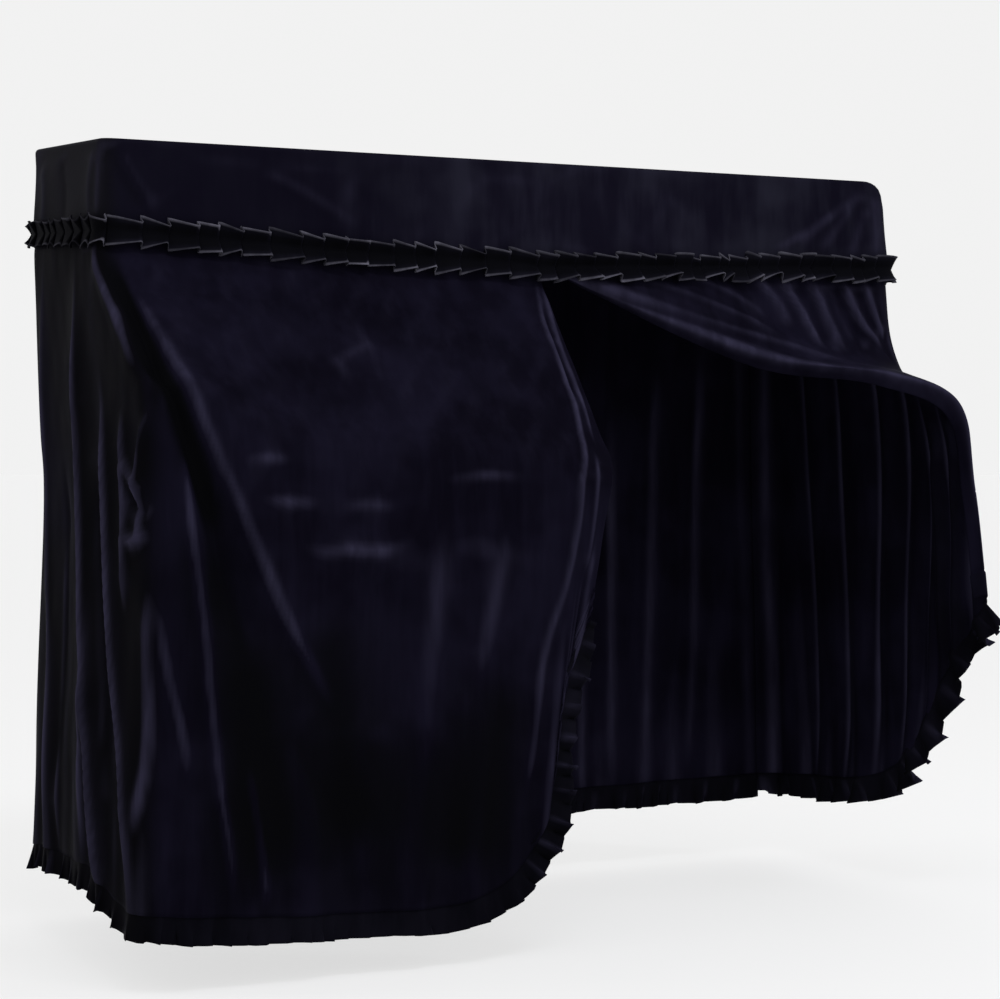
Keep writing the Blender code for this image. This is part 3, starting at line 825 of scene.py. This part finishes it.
# %% [markdown]
# ## The left skirt
#
# The left skirt comes round the back corner, falls down the side, turns over the corner
# of the left arm and covers the front as far as the opening. Two sharp creases run from
# the corner of the crown to the arm and on down the front, with a dark hollow between
# them. The side hangs in narrow pipes. The skirt could be draped by simulation, but the
# creases lie where this cover was pulled over its arm, so each is placed one by one.

# %% The left skirt's surface


def skirt_sheet(lines, along, down, turn):
    """A sheet through the drop lines, with its rows and columns evenly spaced."""
    drops = np.linalg.norm(np.diff(lines, axis=1), axis=-1).mean(axis=0)
    reach = np.stack([spline(line, even_places(drops, down)) for line in lines])
    widths = np.linalg.norm(np.diff(reach, axis=0), axis=-1)
    widths = widths[:, down // 3:].mean(axis=1)
    return Sheet(spline(reach, even_places(widths, along)), turn)


left_lines = skirt_lines(LEFT_COLUMNS, LEFT_DROPS)
left = skirt_sheet(left_lines, 262, 180, 1.0)
print("left skirt faces:", left.out[200, 120].round(2), "area", round(cloth_area(left.base), 3))

# %% Folds of the left skirt, and its painted highlights and shade
LEFT_FOLDS = (
    # side, height, low, high, crest, path
    # pipes down the side
    ("left", 9, 22, 22, 4, ((124, -160), (152, -420), (127, -690), (74, -860), (71, -990), (67, -1200))),
    ("left", 18, 24, 26, 3, ((-70, -180), (-83, -280), (-93, -430), (-132, -650), (-148, -750),
     (-174, -920), (-160, -1030), (-154, -1220))),
    ("left", 16, 14, 16, 3, ((-170, -840), (-200, -970), (-229, -1090), (-270, -1240))),
    ("left", 19, 22, 24, 3, ((-200, -360), (-260, -530), (-281, -640), (-300, -740), (-327, -850),
     (-364, -970), (-389, -1080), (-395, -1240))),
    ("left", 12, 12, 14, 3, ((-315, -430), (-340, -520), (-353, -620), (-360, -760))),
    ("left", 9, 18, 18, 3, ((20, -600), (5, -820), (10, -1020), (-10, -1220))),
    ("left", -10, 20, 20, 8, ((30, -500), (0, -800), (20, -1100))),
    ("left", -12, 22, 22, 8, ((-180, -500), (-230, -740), (-270, -1050))),
    # the upper crease, from the crown's corner to the arm's corner
    ("left", 11, 12, 30, 2, ((-180, -160), (-200, -185), (-247, -236), (-307, -286), (-371, -342),
     (-405, -375))),
    # crumpled cloth at the arm's corner
    ("left", 10, 12, 12, 3, ((-430, -420), (-400, -530), (-415, -660))),
    ("left", 10, 10, 12, 2, ((-340, -510), (-386, -545), (-425, -560))),
    ("left", -10, 12, 12, 3, ((-355, -570), (-395, -585), (-430, -600))),
    ("left", 10, 10, 10, 2, ((-350, -630), (-390, -640), (-435, -626))),
    ("left", 9, 8, 10, 2, ((-427, -700), (-428, -820), (-427, -970), (-404, -1100))),
    # hollow and crease from the crown's corner over the arm and down the front
    ("front", -26, 20, 26, 10, ((-752, -150), (-743, -240), (-730, -360), (-705, -450), (-668, -560),
     (-640, -660), (-600, -840))),
    ("front", 19, 12, 80, 6, ((-741, -150), (-734, -200), (-724, -261), (-706, -340), (-689, -398),
     (-665, -465), (-615, -574), (-573, -668), (-523, -777), (-430, -930))),
    ("front", 13, 12, 26, 3, ((-700, -460), (-693, -547), (-688, -622), (-672, -735), (-659, -868),
     (-645, -1000), (-629, -1102), (-612, -1240))),
    ("front", 8, 12, 14, 5, ((-738, -700), (-727, -787), (-717, -851), (-700, -932), (-690, -1020))),
    ("front", 8, 10, 12, 3, ((-596, -980), (-578, -1100), (-560, -1220))),
    ("front", -9, 30, 30, 10, ((-530, -920), (-447, -1090), (-400, -1260))),
    ("front", 7, 40, 40, 20, ((-450, -900), (-370, -1060), (-320, -1260))),
    # the lighter plane in the middle of the front
    ("front", 10, 40, 30, 20, ((-272, -600), (-275, -740), (-290, -880), (-300, -1040))),
    ("front", -7, 20, 20, 12, ((-208, -640), (-215, -780), (-235, -920))),
    ("front", 8, 40, 26, 12, ((-150, -620), (-175, -740), (-212, -880))),
    ("front", -7, 40, 30, 12, ((-350, -660), (-360, -800), (-375, -960))),
    # creases that lie across, where the cloth turns over the key bed
    ("front", 6, 12, 10, 4, ((-615, -520), (-569, -512), (-520, -514)), 0.5),
    ("front", 6, 14, 10, 4, ((-590, -572), (-531, -579), (-470, -582)), 0.5),
    ("front", 5, 14, 10, 4, ((-440, -588), (-392, -585), (-340, -592)), 0.5),
    ("front", 9, 22, 10, 4, ((-520, -640), (-470, -657), (-430, -654), (-370, -657), (-300, -640)), 0.5),
    ("front", -4, 30, 30, 12, ((-600, -545), (-450, -548), (-380, -535)), 0.5),
    ("front", -5, 26, 26, 10, ((-560, -605), (-420, -622), (-260, -612)), 0.5),
    ("front", 5, 18, 12, 6, ((-270, -550), (-189, -540), (-110, -546)), 0.5),
    ("front", -4, 34, 34, 12, ((-300, -585), (-170, -600), (-80, -585)), 0.5),
    ("front", 4, 20, 20, 6, ((-420, -365), (-370, -340), (-320, -325))),
    # the folded strip along the free edge
    ("front", 8, 4, 12, 1.5, ((22, -185), (6, -283), (8, -358), (7, -429), (-5, -501), (-18, -559),
     (-24, -614), (-44, -718), (-67, -800))),
    ("front", 6, 6, 6, 2, ((26, -210), (20, -330), (24, -410), (22, -500))),
    ("front", -7, 6, 6, 3, ((14, -240), (14, -340), (15, -430))),
    ("front", 8, 10, 10, 3, ((16, -500), (6, -600), (-10, -720))),
    ("front", 9, 10, 12, 3, ((-40, -700), (-85, -840), (-101, -960), (-120, -1080))),
)
# Painted light along paths: painted shade in the hollow from the crown's corner down the front and at the
# arm's corner, the front darker lower down and along the hem, and painted highlights on the lighter plane
# of the front, on some creases and along the pipes of the side
LEFT_TONES = (
    # side, amount, low, high, crest, path
    ("front", -1.3, 16, 12, 12, ((-757, -145), (-745, -230), (-735, -300), (-718, -390), (-694, -470),
     (-662, -560), (-632, -660))),
    ("front", -0.8, 50, 40, 20, ((-700, -550), (-650, -700), (-600, -850), (-580, -1000), (-570, -1200))),
    ("left", -0.8, 20, 10, 10, ((-330, -260), (-400, -420), (-420, -600))),
    ("front", -0.6, 60, 60, 30, ((-480, -720), (-440, -900), (-400, -1150))),
    ("front", -0.5, 60, 40, 30, ((-120, -850), (-180, -980), (-230, -1200))),
    ("front", 0.13, 30, 30, 30, ((-273, -640), (-278, -760), (-292, -900), (-298, -1000))),
    ("front", 0.07, 30, 30, 24, ((-150, -640), (-172, -740), (-200, -840))),
    ("front", 0.13, 20, 34, 12, ((-600, -600), (-573, -668), (-535, -735), (-490, -820))),
    ("front", 0.06, 30, 30, 20, ((-470, -652), (-420, -650), (-360, -648))),
    ("front", -0.5, 140, 160, 80, ((-760, -1170), (-450, -1150), (-20, -1100))),
    ("left", 0.22, 12, 14, 6, ((-148, -700), (-174, -860), (-160, -1030), (-154, -1200))),
    ("left", 0.22, 12, 12, 5, ((-190, -900), (-220, -1040), (-262, -1200))),
    ("left", 0.24, 12, 14, 6, ((-281, -600), (-300, -740), (-327, -850), (-364, -970), (-389, -1120))),
    ("left", 0.2, 12, 14, 5, ((74, -780), (71, -930), (67, -1160))),
    ("left", 0.1, 30, 30, 10, ((120, -160), (140, -420), (120, -690))),
    ("left", 0.08, 16, 16, 6, ((-150, -200), (-200, -400), (-240, -620))),
)
left.folds(LEFT_FOLDS)
left.brush(LEFT_TONES)
ripple(left, 21, 0.26, 0.0016, (1.0, 0.45))
ripple(left, 22, 0.07, 0.0004, (1.0, 0.5))

# %% Hem flutes, and the left skirt's mesh


def hem_flutes(sheet, seed, pitch, height, start=0.55):
    """The cloth opens into soft flutes towards its lower edge."""
    draw = np.random.default_rng(seed)
    reach = reach_along(sheet.base[:, -1])
    wave = np.zeros_like(reach)
    for share in (1.0, 0.62, 1.7):
        wave += np.sin(2 * np.pi * reach / (pitch * share) + draw.uniform(0, 6.28)) / 1.6
    down = np.linspace(0.0, 1.0, sheet.lift.shape[1])
    sheet.lift += height * wave[:, None] * soft_step(down, start, 1.0)[None, :]


hem_flutes(left, 31, 0.15, 0.0045)
left.calm_at_seam(0.035)
velvet_skirt = velvet("velvet_skirt", PILE_DEEP, PILE_BRUSHED_SHEEN, RIDGE_HIGHLIGHT, (1.75, 1.10))
skirt_left = cloth_piece(
    "skirt_left_front", left.places(), VELVET_THICK, velvet_skirt, ["skirt_left"],
    painted_light=left.painted_light())

# %% [markdown]
# ## The right skirt
#
# On the right the skirt has been picked up by its free edge and laid over the arm. The
# threads that leave the seam near the middle run sideways, turn over the arm and fall
# down its outside, so the hem climbs to a point at the front. Short gathers fan out
# under the ruffle where the pull is strongest.

# %% The right skirt
right_lines = skirt_lines(RIGHT_COLUMNS, RIGHT_DROPS)
right = skirt_sheet(right_lines, 236, 176, -1.0)
print("right skirt faces:", right.out[20, 120].round(2), "area", round(cloth_area(right.base), 3))

# %% Gathers and folds of the right skirt
RIGHT_FOLDS = (
    # side, height, low, high, crest, path
    ("front", 8, 8, 14, 2, ((455, -175), (505, -236), (523, -281))),
    ("front", 10, 8, 14, 2, ((500, -165), (518, -193), (555, -249), (585, -320))),
    ("front", 8, 8, 10, 2, ((575, -175), (612, -258), (636, -325))),
    ("front", 9, 8, 12, 2, ((645, -175), (695, -271), (740, -315))),
    ("front", 8, 8, 10, 2, ((695, -175), (718, -241), (742, -300))),
    ("front", -7, 12, 12, 4, ((540, -185), (580, -250), (608, -325))),
    ("front", -6, 10, 10, 4, ((630, -185), (662, -250), (690, -315))),
    ("front", 7, 8, 18, 2, ((60, -182), (141, -215), (274, -256), (414, -292), (527, -320), (640, -345))),
    ("front", -6, 8, 8, 3, ((100, -212), (220, -250), (340, -282), (480, -318), (640, -362))),
    ("front", 6, 10, 12, 3, ((180, -190), (300, -220), (420, -262), (500, -300))),
    ("front", 6, 10, 12, 3, ((300, -185), (400, -215), (480, -262))),
    ("right", 14, 24, 24, 4, ((110, -200), (100, -500), (80, -850), (90, -1250))),
    ("right", 18, 24, 24, 4, ((0, -200), (-10, -550), (-20, -850), (0, -1250))),
    ("right", 18, 22, 26, 4, ((-110, -200), (-140, -500), (-120, -850), (-100, -1200))),
    ("right", 16, 20, 22, 4, ((-200, -250), (-230, -500), (-210, -800), (-190, -1150))),
    ("right", 16, 18, 22, 3, ((-280, -380), (-300, -600), (-280, -850), (-260, -1100))),
    ("right", 16, 16, 20, 3, ((-345, -400), (-360, -600), (-350, -800), (-335, -1000))),
    ("right", 16, 14, 18, 3, ((-400, -420), (-410, -580), (-405, -720), (-390, -920))),
    ("right", -12, 14, 14, 4, ((-320, -450), (-330, -650), (-320, -900))),
    ("right", -12, 14, 14, 4, ((-375, -450), (-385, -650), (-375, -850))),
    ("right", -10, 12, 14, 4, ((-430, -450), (-430, -600), (-432, -800))),
)
# Painted light along paths: a highlight along the swept edge, the right side darker low down, and a faint
# highlight under the ruffle
RIGHT_TONES = (
    # side, amount, low, high, crest, path
    ("front", 0.14, 12, 12, 6, ((480, -330), (580, -355), (660, -385), (730, -408), (790, -430))),
    ("right", -0.45, 120, 120, 80, ((-400, -500), (-380, -800), (-340, -1020))),
    ("front", 0.05, 30, 30, 20, ((80, -200), (250, -240), (420, -280))),
)

# %% The right skirt's mesh
right.folds(RIGHT_FOLDS)
right.brush(RIGHT_TONES)
ripple(right, 23, 0.24, 0.0014, (1.0, 0.5))
hem_flutes(right, 32, 0.13, 0.0060, 0.50)
right.calm_at_seam(0.05)
skirt_right = cloth_piece(
    "skirt_right_front", right.places(), VELVET_THICK, velvet_skirt, ["skirt_right"],
    painted_light=right.painted_light(right.places()))

# %% [markdown]
# ## The back skirt
#
# The back of the piano stands to a wall, and its cloth is the plainest: one width between
# the two side pieces, seamed to them, with loose pipes of uneven width.

# %% The back skirt
BACK_ALONG, BACK_DOWN = 200, 110
start, end = left.places()[0], right.places()[0]
rows_start = spline(start, even_places(np.ones(len(start) - 1), BACK_DOWN))
rows_end = spline(end, even_places(np.ones(len(end) - 1), BACK_DOWN))
BACK_LAP = 0.006          # the back width laps behind its neighbours by this much
BACK_SINK = 0.0024        # and lies this far behind them there
BACK_PIPES_FROM, BACK_PIPES_TO = -0.64, 0.66
BACK_PIPE_END = -1.25     # height at which the pipes end, just past the hem
BACK_PIPE_CREST = 0.004
lap = BACK_LAP / float(np.linalg.norm(rows_end[0] - rows_start[0]))
across = np.linspace(0.0, 1.0, BACK_ALONG) * (1 + 2 * lap) - lap
back = Sheet(rows_start[None] + (rows_end - rows_start)[None] * across[:, None, None], 1.0)
if back.out[BACK_ALONG // 2, BACK_DOWN // 2, 1] < 0:
    back.out = -back.out
draw = np.random.default_rng(41)
place = BACK_PIPES_FROM
while place < BACK_PIPES_TO:
    lean, top = draw.uniform(-0.03, 0.03), draw.uniform(-0.75, -0.16)
    wide, tall, uneven = draw.uniform(0.016, 0.032), draw.uniform(0.006, 0.013), draw.uniform(0.7, 1.3)
    path = (
        (place, top), (place + lean * 0.5, (top + BACK_PIPE_END) / 2), (place + lean, BACK_PIPE_END))
    back.lift += tall * back.near("back", wide, wide * uneven, BACK_PIPE_CREST, path)
    place += draw.uniform(0.06, 0.12)
ripple(back, 24, 0.30, 0.0018, (1.0, 0.4))
hem_flutes(back, 33, 0.14, 0.0045)
inner = soft_step(np.linspace(0.0, 1.0, BACK_ALONG), 0.0, 0.02)
inner = (inner * inner[::-1])[:, None]
back.lift *= inner
back.calm_at_seam(0.04)
back.lift -= BACK_SINK * (1 - inner)
skirt_back = cloth_piece(
    "skirt_back_panel", back.places(), VELVET_THICK, velvet_skirt, ["skirt_back"],
    painted_light=back.painted_light())

# %% [markdown]
# ## The hem frills
#
# A frill is a strip gathered to about half its length and sewn under the hem. Gathers are
# never even: one flute is wide, the next is pinched, and the free edge swings out more
# than the sewn one. The strip here follows the hem of its skirt, and its flutes grow from
# nothing at the seam to their full swing at the free edge.

# %% Frills
FRILL_TUCK = 0.007        # the frill starts this far up behind the hem
FRILL_BEHIND = 0.0022     # and this far inside it
FLUTE_STEPS = 9           # places along one flute
HEM_SMOOTHED = 15         # places on each side that the way of the hem is averaged over
CALM_HEM = (-1.215, -1.150)   # the frill swings less where the hem hangs this low


def uneven_turns(draw, total, pitch, spread):
    """Places of the flutes' turns along a strip, with uneven spaces between them."""
    turns = [0.0]
    while turns[-1] < total:
        turns.append(turns[-1] + pitch * draw.uniform(1 - spread, 1 + spread))
    return np.array(turns) * total / turns[-1]


def frill_places(sheet, side, seed, pitch, swing, drop, notch, start, end, taper):
    """Places of a frill under a sheet's hem. side is 1 where the sheet runs to the
    right as seen from outside and -1 where it runs to the left. Also its painted light,
    a highlight on one face of each flute and shade on the other."""
    draw = np.random.default_rng(seed)
    hem, out = sheet.places()[:, -1], sheet.out[:, -1]
    reach = reach_along(hem)
    first, last = start * reach[-1], end * reach[-1]
    turns = uneven_turns(draw, last - first, pitch, 0.38)
    flute = np.arange((len(turns) - 1) * FLUTE_STEPS + 1) / FLUTE_STEPS
    at = first + np.interp(flute, np.arange(len(turns)), turns)
    line = follow(hem, reach, at)
    room = ((HEM_SMOOTHED, HEM_SMOOTHED), (0, 0))
    pad = np.pad(follow(out, reach, at), room, mode="edge")
    smooth = unit(sum(pad[i:i + len(at)] for i in range(2 * HEM_SMOOTHED + 1)))
    pad = np.pad(line, room, mode="reflect", reflect_type="odd")
    tangent = pad[2 * HEM_SMOOTHED:] - pad[:-2 * HEM_SMOOTHED]
    down = unit(np.cross(tangent, smooth) * side)
    tangent = unit(tangent)
    number = flute.astype(int)
    lively = 0.35 + 0.65 * soft_step(line[:, 2], *CALM_HEM)
    strength = draw.uniform(0.45, 1.30, len(turns) + 1)[number] * lively
    lean = draw.uniform(-1.0, 1.0, len(turns) + 1)[number]
    deep = 1 - np.interp(flute, np.arange(len(turns) + 1),
                         draw.uniform(0.0, notch, len(turns) + 1)) * lively
    phase = 2 * np.pi * (flute - number)
    wave = np.sin(phase) * strength + 0.25 * np.sin(2 * phase + lean)
    slip = (0.28 * np.sin(2 * phase) + 0.2 * lean * np.sin(phase / 2)) * pitch * 0.5
    size = 1.0
    if taper:
        size = 0.35 + 0.65 * soft_step(reach[-1] * end - at, 0.0, taper)
    size = size * (0.72 + 0.28 * soft_step(at - first, 0.0, 0.03))
    rows, painted_light = [], []
    for t in np.linspace(0.0, 1.0, 10):
        open_up = t ** 1.3
        fall = drop * deep * t * size - FRILL_TUCK * (1 - t) ** 2
        row = line + down * fall[:, None] - smooth * (FRILL_BEHIND * (1 - t) ** 2)
        row = row + smooth * (swing * wave * open_up * size)[:, None]
        row = row + tangent * (slip * open_up * size)[:, None]
        rows.append(row)
        # painted light: a highlight on one face of each flute and shade on the other, calmer where the
        # hem hangs low
        painted_light.append(np.clip(0.75 * wave * lively * t ** 0.5 - 0.15, -0.8, 0.8))
    return np.stack(rows, axis=1), np.stack(painted_light, axis=1)


velvet_trim = velvet("velvet_trim", (0.0020, 0.0019, 0.0032, 1), (0.0044, 0.0041, 0.0072, 1),
                     RIDGE_HIGHLIGHT, (3.0, 0.05), bump=0.7)
FRILLS = (
    # node, flat size, sheet, side, seed, pitch, swing, drop, notch, start, end, taper
    ("frill_left", (2.2, 0.05), left, 1, 51, 0.058, 0.0125, 0.044, 0.30, 0.002, 1.0, 0.090),
    ("frill_right", (1.25, 0.05), right, -1, 52, 0.068, 0.0200, 0.050, 0.35, 0.002, 0.955, 0.0),
    ("frill_back", (1.6, 0.05), back, -1, 53, 0.056, 0.0100, 0.044, 0.15, 0.0, 1.0, 0.0),
)
for node, flat, *shape in FRILLS:
    places, painted_light = frill_places(*shape)
    frill = cloth_piece(node + "_hem", places, TRIM_THICK, velvet_trim, [node], painted_light=painted_light)

# %% [markdown]
# ## The ruffle
#
# The ruffle is a strip pleated as it is sewn down along its middle. The stitching pinches
# every pleat flat there, and above and below it the pleat opens like a bow; towards the
# stitching it is painted dark as shade. Its free edges are left as they were cut, and their
# paler weave, with a painted highlight that is brightest on pleats facing the front, draws a
# broken bright line.

# %% Where the pleats of the ruffle turn
RUFFLE_HALF = 0.0225      # from the stitching to a free edge
RUFFLE_SEWN = 0.0036      # the stitching lies this far out from the band
PLEAT_STAND = 0.0120      # a pleat stands out this far more at its free edge
PLEAT_JUT = 0.0030        # a crumpled one juts or sinks this far
PLEAT_RISE = 0.0065       # and its edge rises or drops this far
PLEAT_TILT, PLEAT_KICK = 0.0040, 0.0024   # how far its edges slip along the strip
OFF_BAND = 0.0030         # the upper edge stands off the band
OFF_SKIRT = 0.0015        # the lower edge stands off the skirt
LOWER_OFF = 0.0035        # and at least this far out
WIDE_PITCH, FINE_PITCH = 0.046, 0.031
FINE_FROM, FINE_FULL = -0.10, 0.25
draw = np.random.default_rng(61)
track = outline(3001)
track_foot, track_way = band_foot(track)
track_reach = reach_along(track_foot[:, :2])
# pleats are wide at the front left and finer and more crumpled to the right
turns = [0.0]
while turns[-1] < track_reach[-1]:
    here = float(np.interp(turns[-1], track_reach, track_foot[:, 0]))
    fine_share = float(soft_step(here, FINE_FROM, FINE_FULL))
    pitch = WIDE_PITCH * (1 - fine_share) + FINE_PITCH * fine_share
    spread = 0.22 + 0.26 * fine_share
    turns.append(turns[-1] + pitch * draw.uniform(1 - spread, 1 + spread))
turns = np.array(turns) * track_reach[-1] / turns[-1]
pleats = len(turns) - 1
print("pleats in the ruffle:", pleats)

# %% The shape of one pleat, repeated along the ruffle
# It runs out from the seam, turns at its far end and slips back under itself. It is tall
# where it starts and pinched where it turns, so its edges slant.
PLEAT = (
    # share, out, spread, line
    (0.00, 0.10, 1.16, 0.9),
    (0.10, 0.38, 1.14, 1.0),
    (0.30, 0.60, 1.06, 0.8),
    (0.52, 0.80, 0.97, 0.7),
    (0.74, 0.94, 0.89, 0.8),
    (0.92, 1.02, 0.82, 0.9),
    (1.00, 1.00, 0.80, 1.0),
    (1.05, 0.78, 0.84, 0.9),
    (1.04, 0.46, 0.96, 0.8),
    (1.01, 0.20, 1.08, 0.8),
)
number = np.append(np.repeat(np.arange(pleats), len(PLEAT)), 0)
share, out_share, spread, line = np.array(PLEAT * pleats + PLEAT[:1]).T
at = turns[number] + share * np.diff(turns)[number]
at[-1] = track_reach[-1]


def each(low, high):
    """One random value for each pleat, given to all of its places."""
    return draw.uniform(low, high, pleats)[number]


strength, tilt, kick, slant = each(0.55, 1.25), each(-1, 1), each(-1, 1), each(0.2, 1.8)
wrapped = np.mod(at, track_reach[-1])
where = follow(track_foot, track_reach, wrapped)
way = unit(follow(track_way, track_reach, wrapped))
run = np.stack([-way[:, 1], way[:, 0]], axis=1)
fine_share = soft_step(where[:, 0], FINE_FROM, FINE_FULL)


def skirt_stand(x):
    """How far the swept cloth stands out from the crown at the ruffle's lower edge."""
    near = []
    for sheet in (left, right):
        places = sheet.places()[:, :24].reshape(-1, 3)
        below = seam_height(places[:, 0], places[:, 1]) - RUFFLE_HALF
        hit = (np.abs(places[:, 2] - below) < 0.006) & (places[:, 1] < -0.18)
        near.append(places[hit])
    near = np.concatenate(near)
    stands = []
    for value in x:
        close = np.abs(near[:, 0] - value) < 0.02
        stands.append(max(float((-HALF_DEPTH - near[close, 1]).max()), 0.0) if close.any() else 0.0)
    return np.array(stands)


# %% The ruffle's rows, from its upper edge through the stitching to its lower edge
front = np.clip(-way[:, 1], 0.0, 1.0)
over = skirt_stand(where[:, 0]) * front
# strength of the painted highlight on the edges: strongest on pleats that face the front, weaker on the
# fine pleats to the right
highlight_facing = (0.30 + 0.70 * front) * (1 - 0.35 * fine_share)
shine_up, shine_low = each(0.20, 1.0) * highlight_facing, each(0.10, 1.0) * highlight_facing
jut_up, jut_low = each(-1, 1) * fine_share, each(-1, 1) * fine_share
rows, painted_light = [], []
for t in (-1.0, -0.92, -0.80, -0.55, -0.25, 0.0, 0.25, 0.55, 0.80, 0.92, 1.0):
    free = abs(t)
    shine, jut = (shine_low, jut_low) if t > 0 else (shine_up, jut_up)
    rest = np.maximum(LOWER_OFF, over + OFF_SKIRT) * free if t > 0 else OFF_BAND * free
    stand = RUFFLE_SEWN + rest + PLEAT_STAND * out_share * strength * (0.22 + 0.78 * free ** 1.1)
    stand = stand + PLEAT_JUT * free * jut
    tall = 1.0 + ((spread - 1.0) * slant + 0.10 * kick) * free
    height = where[:, 2] - RUFFLE_HALF * t * np.clip(tall, 0.4, 1.3)
    height = height + PLEAT_RISE * free * jut * out_share
    slide = (PLEAT_TILT * tilt * t + PLEAT_KICK * kick * free) * out_share
    base = where[:, :2] + way * stand[:, None] + run * slide[:, None]
    rows.append(np.column_stack([base, height]))
    # painted light: the paler cut edge carries a painted highlight, each pleat's turn a fainter one, and
    # the middle towards the stitching is painted dark as shade
    edge_line = line * shine * soft_step(free, 0.80, 0.96)
    turn_highlight = 0.60 * shine * (np.abs(share - 1.02) < 0.04) * soft_step(free, 0.1, 0.5)
    painted_light.append(np.maximum(edge_line, turn_highlight) - 0.75 * (1 - soft_step(free, 0.45, 0.90)))
ruffle_places = np.stack(rows, axis=1)
velvet_ruffle = velvet("velvet_ruffle", (0.0024, 0.0023, 0.0038, 1), (0.0056, 0.0054, 0.0090, 1),
                       EDGE_WEAVE_AND_HIGHLIGHT, (5.4, 0.046), bump=0.7)
ruffle = cloth_piece(
    "ruffle_strip", ruffle_places, TRIM_THICK, velvet_ruffle, ["ruffle"],
    ring=True, painted_light=np.stack(painted_light, axis=1))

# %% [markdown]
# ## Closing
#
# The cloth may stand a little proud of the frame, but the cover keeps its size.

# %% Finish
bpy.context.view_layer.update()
